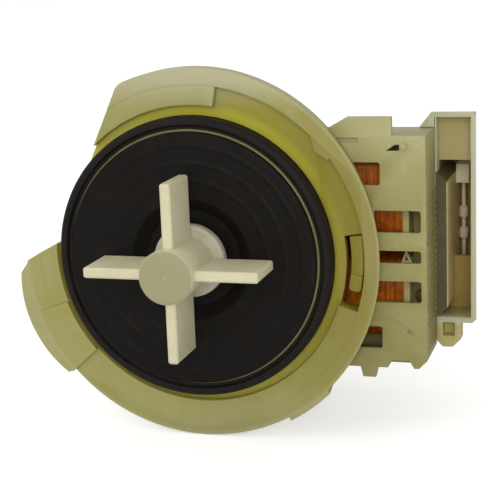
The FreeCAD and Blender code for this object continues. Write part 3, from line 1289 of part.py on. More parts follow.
def terminal_box():
    """Box round the core's outer end, tapered to the rear: framed mouth, shelf, catch and socket."""
    body = new_body("terminal_box")
    face = new_sketch(body, "frame_outline", "XZ_Plane", from_y("core_front"))
    outline(face, [
        (BOX_SIDE, "-box_low"),
        ("box_right - box_bevel", "-box_low"),
        ("box_right", "box_bevel - box_low"),
        ("box_right", "box_top - box_bevel"),
        ("box_right - box_bevel", "box_top"),
        ("box_left + box_slope", "box_top"),
        ("box_left", "cover_top + fit_gap"),
        (BOX_SIDE, "cover_top + fit_gap"),
    ])
    pad_back(body, "frame_block", face, "frame_depth")
    lower = new_sketch(body, "lower_body", "XZ_Plane", from_y(FRAME_BACK))
    outline(lower, [
        (BOX_SIDE, "-box_low"),
        ("box_right - box_bevel", "-box_low"),
        ("box_right", "box_bevel - box_low"),
        ("box_right", "lip_top"),
        (BOX_SIDE, "lip_top"),
    ])
    pad_back(body, "lower_body_pad", lower, "sill_depth + box_wall - frame_depth")
    upper = new_sketch(body, "upper_body", "XZ_Plane", from_y(FRAME_BACK))
    outline(upper, [
        (BOX_SIDE, "clip_end - box_wall"),
        ("box_right", "clip_end - box_wall"),
        ("box_right", "box_top - box_bevel"),
        ("box_right - box_bevel", "box_top"),
        (BOX_SIDE, "box_top"),
    ])
    pad_back(body, "upper_body_pad", upper, "body_end - core_front - frame_depth")
    socket = new_sketch(body, "socket", "XZ_Plane", from_y("body_end"))
    rectangle(socket, BOX_SIDE, "socket_low", RIGHT_END, "socket_high")
    pad_back(body, "socket_pad", socket, "socket_reach")
    rim = new_sketch(body, "socket_rim", "XZ_Plane", from_y(SOCKET_RIM))
    rectangle(rim, SOCKET_LEFT, "socket_low", BOX_SIDE + " + sink", "socket_high")
    pad_back(body, "socket_rim_pad", rim, "%s - %s" % (BOX_END, SOCKET_RIM))

    taper = new_sketch(body, "side_taper", "XY_Plane", "-(box_low + past)")
    outline(taper, [
        ("box_right", "core_front"),
        ("box_right + past", "core_front"),
        ("box_right + past", BOX_END),
        (SOCKET_RIGHT, BOX_END),
    ])
    pocket_back(body, "side_taper_pocket", taper, "box_low + box_top + 2 * past")
    taper = new_sketch(body, "top_taper", "YZ_Plane", "(box_left - past)")
    outline(taper, [
        ("core_front", "box_top"),
        ("body_end", TOP_END),
        ("body_end", "box_top + past"),
        ("core_front", "box_top + past"),
    ])
    pocket_back(body, "top_taper_pocket", taper, "box_right - box_left + 2 * past")

    core = new_sketch(body, "core_space", "XZ_Plane", from_y("core_front"))
    room = "(core_half + exit_gap)"
    far = "(core_end + exit_gap)"
    outline(core, [
        (BOX_SIDE + " - past", "-" + room),
        (far + " - core_chamfer", "-" + room),
        (far, "core_chamfer - " + room),
        (far, room + " - core_chamfer"),
        (far + " - core_chamfer", room),
        (BOX_SIDE + " - past", room),
    ])
    pocket_back(body, "core_space_pocket", core, "core_depth + exit_gap")
    side = "(%s - side_wall)" % RIGHT_END
    cuts = [
        ("mouth", BOX_SIDE + " - bite", "frame_wall - box_low", "box_right - frame_wall",
         "box_top - frame_wall", "core_front", "frame_depth"),
        ("shelf_space", BOX_SIDE + " - past", "box_wall - box_low", side, "panel_low", FRAME_BACK,
         "sill_depth - frame_depth"),
        ("deep_space", BOX_SIDE + " - past", "lip_top", side, "panel_low", "(core_front + sill_depth)",
         "body_end - box_wall - core_front - sill_depth"),
        ("floor_space", BOX_SIDE + " - past", "clip_end", side, "panel_low",
         "(core_front + sill_depth + box_wall)", "body_end - 2 * box_wall - core_front - sill_depth"),
        ("panel_space", BOX_SIDE + " - past", "panel_low - box_wall", side, TOP_END + " - box_wall",
         "(%s + box_wall)" % FRAME_BACK, "body_end - core_front - frame_depth - 2 * box_wall"),
        ("socket_space", BOX_SIDE + " + box_wall", "socket_low + box_wall", SOCKET_RIGHT + " - socket_wall",
         "socket_high - box_wall", "body_end", "socket_reach"),
        ("rim_space", SOCKET_LEFT + " + socket_wall", "socket_low + box_wall", SOCKET_RIGHT + " - socket_wall",
         "socket_high - box_wall", "(%s + box_wall)" % SOCKET_RIM,
         "%s - %s - box_wall" % (BOX_END, SOCKET_RIM)),
    ]
    for name, left, low, right, high, start, length in cuts:
        sketch = new_sketch(body, name, "XZ_Plane", from_y(start))
        rectangle(sketch, left, low, right, high)
        pocket_back(body, name + "_pocket", sketch, length)
    for number, middle in enumerate(("tab_upper", "tab_lower"), start=1):
        slot = new_sketch(body, "tab_slot_%d" % number, "XZ_Plane", from_y("(body_end - box_wall)"))
        rectangle(slot, TAB_X + " - tab_thick / 2 - seat_gap", middle + " - tab_wide / 2 - seat_gap",
                  TAB_X + " + tab_thick / 2 + seat_gap", middle + " + tab_wide / 2 + seat_gap")
        pocket_back(body, "tab_slot_%d_pocket" % number, slot, "box_wall")

    catch = new_sketch(body, "catch", "XZ_Plane", from_y("core_front"))
    outline(catch, [
        (BOX_SIDE, "-box_low - hook_drop + hook_bar"),
        (BOX_SIDE + " + hook_bar", "-box_low - hook_drop"),
        ("hook_right - hook_bevel", "-box_low - hook_drop"),
        ("hook_right", "-box_low - hook_drop + hook_bevel"),
        ("hook_right", "0.5 * frame_wall - box_low"),
        (BOX_SIDE, "0.5 * frame_wall - box_low"),
    ])
    pad_back(body, "catch_pad", catch, "hook_thick")
    hollow = new_sketch(body, "catch_hollow", "XZ_Plane", from_y("core_front"))
    rectangle(hollow, BOX_SIDE + " + hook_bar", "-box_low - hook_drop + hook_floor", "hook_right - hook_bar",
              "-box_low")
    pocket_back(body, "catch_hollow_pocket", hollow, "hook_thick - box_wall")
    return body


def terminal(label, middle):
    """Flat push-on terminal through the rear wall of the box into the connector socket."""
    body = new_body(label)
    start = "body_end - box_wall - tab_root"
    end = "body_end + tab_reach"
    blade = new_sketch(body, "tab_outline", "YZ_Plane", TAB_X + " - tab_thick / 2")
    outline(blade, [
        (start, middle + " - tab_wide / 2"),
        (end + " - tab_bevel", middle + " - tab_wide / 2"),
        (end, middle + " - tab_wide / 2 + tab_bevel"),
        (end, middle + " + tab_wide / 2 - tab_bevel"),
        (end + " - tab_bevel", middle + " + tab_wide / 2"),
        (start, middle + " + tab_wide / 2"),
    ])
    pad_back(body, "tab_pad", blade, "tab_thick")
    hole = new_sketch(body, "tab_hole_sketch", "YZ_Plane", TAB_X + " - tab_thick / 2")
    circle(hole, end + " - 3 * tab_hole", middle, "tab_hole")
    pocket_back(body, "tab_hole_pocket", hole, "tab_thick")
    return body


def core_clip():
    """Clip on the outer end of the core: a block, a stalk below it and two beads on the stalk."""
    body = new_body("core_clip")
    block = new_sketch(body, "clip_block", "XZ_Plane", from_y("clip_front"))
    rectangle(block, "core_end", "clip_block_low", "core_end + clip_width", "clip_block_high")
    pad_back(body, "clip_block_pad", block, "clip_depth")
    stalk = new_sketch(body, "clip_stalk_sketch", "XY_Plane", "clip_end")
    circle(stalk, STALK_X, "clip_front + clip_depth / 2", "clip_stalk")
    pad_back(body, "clip_stalk_pad", stalk, "(clip_block_low + clip_block_high) / 2 - clip_end")
    for number, height in enumerate(("bead_upper", "bead_lower"), start=1):
        bead = new_sketch(body, "bead_%d" % number, "XZ_Plane", from_y("(clip_front + clip_depth / 2)"))
        outline(bead, [
            (STALK_X, height + " - bead_half"),
            (STALK_X + " + bead_radius", height + " - bead_half / 2"),
            (STALK_X + " + bead_radius", height + " + bead_half / 2"),
            (STALK_X, height + " + bead_half"),
        ])
        low, high = size("clip_end"), size("clip_block_high")
        axis = bead.addGeometry(Part.LineSegment(V(size(STALK_X), low, 0), V(size(STALK_X), high, 0)), True)
        pin(bead, axis, 1, "X", STALK_X)
        bead.addConstraint(Sketcher.Constraint("Vertical", axis))
        turn = body.newObject("PartDesign::Revolution", "bead_%d_turned" % number)
        turn.Profile = bead
        turn.ReferenceAxis = (bead, ["Axis0"])
        turn.Angle = 360
        DOC.recompute()
    return body


def all_pieces():
    """Every piece of the pump, in the order in which it is put together."""
    pieces = [pump_flange(), latch_tongue(), seal_ring(), front_plate(), chamber_seal(), shaft_seal()]
    pieces += bearing("front", "boss_end - bush_length", True)
    pieces += bearing("rear", "can_floor", False)
    pieces += rotor()
    pieces.append(impeller())
    pieces += coupling()
    pieces += stator()
    pieces += [bobbin("upper_bobbin", LEG_MIDDLE), bobbin("lower_bobbin", "-" + LEG_MIDDLE)]
    pieces += [coil("upper_coil", 1), coil("lower_coil", -1)]
    pieces += [coil_cover(), rear_cover(), motor_screws(), terminal_box()]
    pieces += [terminal("upper_terminal", "tab_upper"), terminal("lower_terminal", "tab_lower"), core_clip()]
    return pieces


def check(pieces):
    """Raise an error for a failed object of the document, or a piece without a valid solid."""
    for item in DOC.Objects:
        if "Invalid" in item.State or "Error" in item.State:
            raise RuntimeError("%s is %s" % (item.Label, item.State))
    for piece in pieces:
        shape = piece.Shape
        if shape.isNull() or not shape.isValid() or not shape.Solids or shape.Volume <= 0:
            raise RuntimeError("%s has no valid solid" % piece.Label)


def write(pieces):
    """Write each piece to its own STEP file."""
    os.makedirs("parts", exist_ok=True)
    for piece in pieces:
        piece.Shape.exportStep("parts/%s.step" % piece.Label)
        print("%-20s %9.1f mm3, %d solid(s)" % (piece.Label, piece.Shape.Volume, len(piece.Shape.Solids)))


fill_sheet()
PIECES = all_pieces()
DOC.recompute()
check(PIECES)
write(PIECES)
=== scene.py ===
"""Looks of a dishwasher drain pump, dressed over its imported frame.

Lengths named in millimetres are turned into metres where a mesh is made. The pump axis is Y: the impeller
looks towards -Y, the motor lies towards +Y, the stator reaches out to +X and +Z is up.
"""

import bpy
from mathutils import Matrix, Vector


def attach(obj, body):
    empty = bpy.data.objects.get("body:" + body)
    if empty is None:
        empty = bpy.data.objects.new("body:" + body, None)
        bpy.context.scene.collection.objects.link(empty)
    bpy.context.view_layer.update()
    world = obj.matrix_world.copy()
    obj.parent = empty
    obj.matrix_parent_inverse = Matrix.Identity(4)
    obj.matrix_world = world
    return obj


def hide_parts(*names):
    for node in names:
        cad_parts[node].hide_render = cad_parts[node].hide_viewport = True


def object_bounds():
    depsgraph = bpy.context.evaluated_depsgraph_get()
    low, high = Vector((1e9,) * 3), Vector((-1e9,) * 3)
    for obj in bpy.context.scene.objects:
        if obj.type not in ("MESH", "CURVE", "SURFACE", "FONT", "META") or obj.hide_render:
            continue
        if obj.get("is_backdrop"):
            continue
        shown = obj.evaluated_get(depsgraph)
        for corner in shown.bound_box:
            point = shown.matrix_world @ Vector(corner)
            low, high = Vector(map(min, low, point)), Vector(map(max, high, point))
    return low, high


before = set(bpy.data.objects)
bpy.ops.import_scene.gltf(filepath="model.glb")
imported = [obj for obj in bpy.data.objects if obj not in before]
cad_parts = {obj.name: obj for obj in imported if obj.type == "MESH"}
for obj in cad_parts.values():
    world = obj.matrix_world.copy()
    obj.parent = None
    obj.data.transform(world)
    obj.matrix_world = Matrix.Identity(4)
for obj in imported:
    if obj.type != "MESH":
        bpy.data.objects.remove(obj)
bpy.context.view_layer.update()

import logging
import math
import random
from collections.abc import Sequence
from dataclasses import dataclass
from enum import Enum
from functools import cache

import bmesh
import bpy
from mathutils import Matrix, Vector

LOG = logging.getLogger("drain_pump")
MM = 0.001
PER_METRE = 1000.0
# A vertex this near to a place, in millimetres, counts as lying there.
NEAR = 0.1
Rgb = tuple[int, int, int]
Point2 = tuple[float, float]
Place = tuple[float, float, float]
Corner = tuple[float, float, float]
Node = bpy.types.Node
Tree = bpy.types.NodeTree
Socket = bpy.types.NodeSocket
Work = bmesh.types.BMesh

# Directions in the frame.
LEFT, RIGHT = (-1.0, 0.0, 0.0), (1.0, 0.0, 0.0)
FRONT, BACK = (0.0, -1.0, 0.0), (0.0, 1.0, 0.0)
DOWN, UP = (0.0, 0.0, -1.0), (0.0, 0.0, 1.0)


class Body(Enum):
    """Moving groups of the frame."""

    HOUSING = "housing"
    ROTOR = "rotor"
    IMPELLER = "impeller"
    LATCH = "latch"


class Slot(Enum):
    """Material slots of the record."""

    FLANGE = "flange_plastic"
    COVER = "cover_plastic"
    BOX = "box_plastic"
    WHITE = "white_plastic"
    BLACK = "black_plastic"
    RUBBER = "black_rubber"
    STEEL = "steel"
    CORE = "core_steel"
    MAGNET = "magnet"
    BUSH = "bush"
    WINDING = "winding"
    TAB = "tab"


class Spread(Enum):
    """Ways in which a tint, painted light or painted shade spreads over a piece."""

    RING = "ring"
    ALONG = "along"


def linear(colour: Rgb) -> tuple[float, float, float, float]:
    """Turn a written colour into the linear values that a shader takes.

    Args:
        colour: red, green and blue from 0 to 255.

    Returns:
        Linear red, green, blue and an alpha of 1.
    """
    shares = [value / 255.0 for value in colour]
    red, green, blue = (share / 12.92 if share <= 0.04045 else ((share + 0.055) / 1.055) ** 2.4
                        for share in shares)
    return red, green, blue, 1.0


class Graph:
    """A node tree with short calls for adding and joining nodes."""

    def __init__(self, tree: Tree) -> None:
        """Keep the tree and clear it."""
        self.tree = tree
        self.tree.nodes.clear()

    def add(self, kind: str, inputs: dict[object, object] | None = None, **settings: object) -> Node:
        """Add a node, set its properties and feed its inputs.

        Args:
            kind: name of the node's type, without its ShaderNode prefix.
            inputs: a socket or a constant for each input, by name or number.
            settings: properties of the node, by name.

        Returns:
            The new node.
        """
        prefix = "" if kind.startswith("NodeGroup") else "ShaderNode"
        node = self.tree.nodes.new(prefix + kind)
        for name, value in settings.items():
            setattr(node, name, value)
        for key, value in (inputs or {}).items():
            if isinstance(value, Socket):
                self.tree.links.new(value, node.inputs[key])
            else:
                node.inputs[key].default_value = value
        return node

    def math(self, operation: str, first: object, second: object, clamp: bool = False) -> Socket:
        """Result of a Math node on two sockets or numbers."""
        return self.add("Math", {0: first, 1: second}, operation=operation, use_clamp=clamp).outputs[0]

    def vector(self, operation: str, first: Socket, second: object = (0.0, 0.0, 0.0)) -> Node:
        """Vector Math node on two sockets or vectors."""
        return self.add("VectorMath", {0: first, 1: second}, operation=operation)

    def mix(self, share: Socket, first: object, second: object) -> Socket:
        """First colour with a share of the second colour over it."""
        return self.add("Mix", {0: share, 6: first, 7: second}, data_type="RGBA").outputs[2]

    def noise(self, place: Socket, scale: float, detail: float, roughness: float) -> Socket:
        """Value of a noise texture, which is about 0.5 in the middle."""
        inputs = {"Vector": place, "Scale": scale, "Detail": detail, "Roughness": roughness}
        return self.add("TexNoise", inputs).outputs["Fac"]

    def ramp(self, value: Socket, low: object, high: object, start: float = 0.0, end: float = 1.0) -> Socket:
        """Value mapped smoothly from low and high to start and end, and held between them."""
        inputs = {"Value": value, "From Min": low, "From Max": high, "To Min": start, "To Max": end}
        return self.add("MapRange", inputs, interpolation_type="SMOOTHSTEP").outputs[0]


class Group(Graph):
    """A shared node group with named inputs and outputs."""

    def __init__(self, name: str, inputs: dict[str, object]) -> None:
        """Start the group.

        Args:
            name: name of the group.
            inputs: default of each input, by name: a number, a vector or a colour with alpha.
        """
        super().__init__(bpy.data.node_groups.new(name, "ShaderNodeTree"))
        kinds = {3: "NodeSocketVector", 4: "NodeSocketColor"}
        for label, default in inputs.items():
            kind = kinds[len(default)] if isinstance(default, tuple) else "NodeSocketFloat"
            socket = self.tree.interface.new_socket(label, in_out="INPUT", socket_type=kind)
            socket.default_value = default
        self.given = self.add("NodeGroupInput").outputs

    def place(self, size: Socket) -> Socket:
        """Object coordinates divided by a feature size in millimetres."""
        inputs = {0: self.add("TexCoord").outputs["Object"], "Scale": self.math("DIVIDE", PER_METRE, size)}
        return self.add("VectorMath", inputs, operation="SCALE").outputs[0]

    def close(self, **outputs: Socket) -> Tree:
        """Give the group its outputs.

        Args:
            outputs: what each output puts out, by name: Color a colour, any other a number.

        Returns:
            The group.
        """
        for label in outputs:
            kind = "NodeSocketColor" if label == "Color" else "NodeSocketFloat"
            self.tree.interface.new_socket(label, in_out="OUTPUT", socket_type=kind)
        self.add("NodeGroupOutput", outputs)
        return self.tree


class Effects:
    """Shader node groups that the finishes share. Each is built once, when it is first asked for."""

    @cache
    def mottle(self) -> Tree:
        """Cloudy colour of moulded plastic: deep and pale patches with fine specks.

        Returns:
            The group.
        """
        group = Group("Moulding Mottle", {
            "Base": (0.5, 0.5, 0.5, 1.0), "Deep": (0.4, 0.4, 0.4, 1.0), "Pale": (0.6, 0.6, 0.6, 1.0),
            "Patch Size": 9.0, "Amount": 0.5,
        })
        place = group.place(group.given["Patch Size"])
        patches = group.noise(place, 1.0, 3.0, 0.55)
        streaks = group.noise(place, 3.4, 4.0, 0.6)
        specks = group.noise(place, 17.0, 2.0, 0.6)
        colour, amount = group.given["Base"], group.given["Amount"]
        for share, tint in ((group.ramp(patches, 0.56, 0.34), "Deep"),
                            (group.ramp(streaks, 0.5, 0.72), "Pale"),
                            (group.ramp(specks, 0.62, 0.74, 0.0, 0.3), "Deep")):
            colour = group.mix(group.math("MULTIPLY", share, amount), colour, group.given[tint])
        return group.close(Color=colour, Patches=patches)

    @cache
    def grain(self) -> Tree:
        """Height of a moulded or cast skin: fine grain over a slow unevenness.

        Returns:
            The group.
        """
        group = Group("Skin Grain", {"Grain Size": 0.3, "Waviness": 0.5})
        place = group.place(group.given["Grain Size"])
        waves = group.math("MULTIPLY", group.noise(place, 0.06, 2.0, 0.5), group.given["Waviness"])
        return group.close(Height=group.math("ADD", group.noise(place, 1.0, 2.0, 0.5), waves))

    @cache
    def edge_wear_and_highlight(self) -> Tree:
        """Mask of rubbed edges and a painted edge highlight, broken up by noise: it lightens outer edges and
        inner corners alike.

        Returns:
            The group, whose Width is in millimetres.
        """
        group = Group("Edge Wear And Highlight", {"Break Size": 1.5, "Reach": 0.5, "Width": 0.35})
        place = group.place(group.given["Break Size"])
        broken = group.ramp(group.noise(place, 1.0, 3.0, 0.6), 0.35, 0.65, 0.25, 1.0)
        rounded = group.add("Bevel", {"Radius": group.math("MULTIPLY", group.given["Width"], MM)}, samples=3)
        flat = group.add("NewGeometry").outputs["True Normal"]
        # The rounded normal turns at outer edges and inner corners alike, so both turn pale: wear, and a
        # painted highlight.
        turn = group.vector("DOT_PRODUCT", rounded.outputs["Normal"], flat)
        worn_and_highlit = group.math("MULTIPLY", group.ramp(turn.outputs["Value"], 0.985, 0.9), broken)
        return group.close(Mask=group.math("MULTIPLY", worn_and_highlit, group.given["Reach"], True))

    @cache
    def settled_dust(self) -> Tree:
        """Mask of dust and dried spots, thicker on faces that look up.

        Returns:
            The group.
        """
        group = Group("Settled Dust", {"Spot Size": 2.5, "Amount": 0.2})
        place = group.place(group.given["Spot Size"])
        spots = group.ramp(group.noise(place, 1.0, 5.0, 0.65), 0.5, 0.72)
        parts = group.add("SeparateXYZ", {0: group.add("NewGeometry").outputs["Normal"]})
        dust = group.math("MULTIPLY", spots, group.ramp(parts.outputs["Z"], -0.3, 1.0, 0.35, 1.0))
        return group.close(Mask=group.math("MULTIPLY", dust, group.given["Amount"], True))

    @cache
    def spread(self, kind: Spread) -> Tree:
        """Mask that fades in over a distance, from the pump axis or along a direction.

        Args:
            kind: how the mask spreads.

        Returns:
            The group, whose Start and End are in millimetres.
        """
        group = Group("Stain " + kind.value.title(), {
            "Direction": BACK, "Start": 0.0, "End": 1.0, "Raggedness": 0.5})
        given = group.given
        place = group.add("TexCoord").outputs["Object"]
        if kind is Spread.RING:
            flat = group.vector("MULTIPLY", place, (1.0, 0.0, 1.0)).outputs[0]
            reach = group.vector("LENGTH", flat).outputs["Value"]
        else:
            reach = group.vector("DOT_PRODUCT", place, given["Direction"]).outputs["Value"]
        ragged = group.math("SUBTRACT", group.noise(place, 420.0, 3.0, 0.6), 0.5)
        shifted = group.math("ADD", group.math("MULTIPLY", reach, PER_METRE),
                             group.math("MULTIPLY", ragged, given["Raggedness"]))
        return group.close(Mask=group.ramp(shifted, given["Start"], given["End"]))

    @cache
    def streaks(self) -> Tree:
        """Fine parallel streaks, such as those of drawn wire or turned metal, as a value.

        Returns:
            The group.
        """
        group = Group("Drawn Streaks", {"Stretch": (1.0, 0.05, 1.0), "Streak Size": 0.2})
        pulled = group.vector("MULTIPLY", group.place(group.given["Streak Size"]), group.given["Stretch"])
        return group.close(Value=group.noise(pulled.outputs[0], 1.0, 4.0, 0.6))


@dataclass(frozen=True)
class TintAndPaintedLight:
    """Tint, painted light or painted shade that fades in from start to end, in millimetres."""

    start: float
    end: float
    colour: Rgb
    strength: float
    direction: Place = BACK
    raggedness: float = 0.6
    spread: Spread = Spread.ALONG


@dataclass(frozen=True)
class Finish:
    """Colours and skin of one material. Sizes are in millimetres."""

    name: str
    slot: Slot
    base: Rgb
    deep: Rgb
    pale: Rgb
    patch: float = 9.0
    mottle: float = 0.5
    rough_low: float = 0.35
    rough_high: float = 0.55
    grain: float = 0.35
    waviness: float = 3.0
    bump: float = 0.012
    specular: float = 0.4
    metallic: float = 0.0
    milky: float = 0.0
    milky_depth: float = 1.2
    milky_tint: Place = (1.0, 0.9, 0.4)
    # Pale of rubbed edges, which is also a painted highlight along edges and inner corners.
    wear_highlight: Rgb = (200, 198, 180)
    wear_highlight_reach: float = 0.35
    wear_highlight_break: float = 1.6
    dust: Rgb = (176, 168, 140)
    dust_amount: float = 0.12
    dust_size: float = 2.5
    coat: float = 0.0
    soft: float = 0.0
    # Tints that fade in over the piece; painted light and painted shade are among them.
    tints_and_painted_light: tuple[TintAndPaintedLight, ...] = ()
    stretch: Place | None = None
    drawn: float = 0.0

    def make(self, effects: Effects) -> bpy.types.Material:
        """Build the material.

        Args:
            effects: the shared node groups.

        Returns:
            The material.
        """
        material = bpy.data.materials.new(self.name)
        material.use_nodes = True
        graph = Graph(material.node_tree)
        colour, patches = self._colour(graph, effects)
        shader = graph.add("BsdfPrincipled", {
            "Base Color": colour,
            "Roughness": graph.ramp(patches, 0.35, 0.68, self.rough_low, self.rough_high),
            "Normal": self._normal(graph, effects),
            "Specular IOR Level": self.specular,
            "Metallic": self.metallic,
            "Coat Weight": self.coat,
            "Subsurface Weight": self.milky,
            "Subsurface Radius": self.milky_tint,
            "Subsurface Scale": self.milky_depth * MM,
        })
        graph.add("OutputMaterial", {"Surface": shader.outputs[0]})
        return material

    def _colour(self, graph: Graph, effects: Effects) -> tuple[Socket, Socket]:
        """Mottled colour with the finish's tints, painted light and painted shade, drawn streaks, rubbed
        edges with a painted highlight, and dust.

        Args:
            graph: graph of the material.
            effects: the shared node groups.

        Returns:
            The colour, and the value of its patches.
        """
        cloud = graph.add("Group", {
            "Base": linear(self.base), "Deep": linear(self.deep), "Pale": linear(self.pale),
            "Patch Size": self.patch, "Amount": self.mottle,
        }, node_tree=effects.mottle())
        colour = cloud.outputs["Color"]
        # Each layer is a tint; painted light and painted shade are among them.
        for tint_layer in self.tints_and_painted_light:
            mask = graph.add("Group", {
                "Direction": tint_layer.direction, "Start": tint_layer.start, "End": tint_layer.end,
                "Raggedness": tint_layer.raggedness,
            }, node_tree=effects.spread(tint_layer.spread))
            share = graph.math("MULTIPLY", mask.outputs["Mask"], tint_layer.strength)
            colour = graph.mix(share, colour, linear(tint_layer.colour))
        if self.drawn > 0.0:
            lines = graph.add("Group", {"Stretch": self.stretch, "Streak Size": self.grain * 2.0},
                              node_tree=effects.streaks())
            share = graph.ramp(lines.outputs["Value"], 0.46, 0.62, 0.0, self.drawn)
            colour = graph.mix(share, colour, linear(self.deep))
        # Edges turn pale: wear on outer edges, and a painted highlight on edges and inner corners.
        wear_and_highlight = graph.add("Group", {"Break Size": self.wear_highlight_break, "Reach": self.wear_highlight_reach},
                           node_tree=effects.edge_wear_and_highlight())
        colour = graph.mix(wear_and_highlight.outputs["Mask"], colour, linear(self.wear_highlight))
        dusty = graph.add("Group", {"Spot Size": self.dust_size, "Amount": self.dust_amount},
                          node_tree=effects.settled_dust())
        return graph.mix(dusty.outputs["Mask"], colour, linear(self.dust)), cloud.outputs["Patches"]

    def _normal(self, graph: Graph, effects: Effects) -> Socket:
        """Bumped normal of the skin, with drawn streaks and soft edges where the finish has them.

        Args:
            graph: graph of the material.
            effects: the shared node groups.

        Returns:
            The normal.
        """
        skin = graph.add("Group", {"Grain Size": self.grain, "Waviness": self.waviness},
                         node_tree=effects.grain())
        height = skin.outputs["Height"]
        if self.stretch is not None:
            drawn = graph.add("Group", {"Stretch": self.stretch, "Streak Size": self.grain},
                              node_tree=effects.streaks())
            height = graph.math("ADD", graph.math("MULTIPLY", height, 0.4), drawn.outputs["Value"])
        inputs = {"Distance": self.bump * MM, "Strength": 1.0, "Height": height}
        if self.soft > 0.0:
            inputs["Normal"] = graph.add("Bevel", {"Radius": self.soft * MM}, samples=4).outputs["Normal"]
        return graph.add("Bump", inputs).outputs["Normal"]


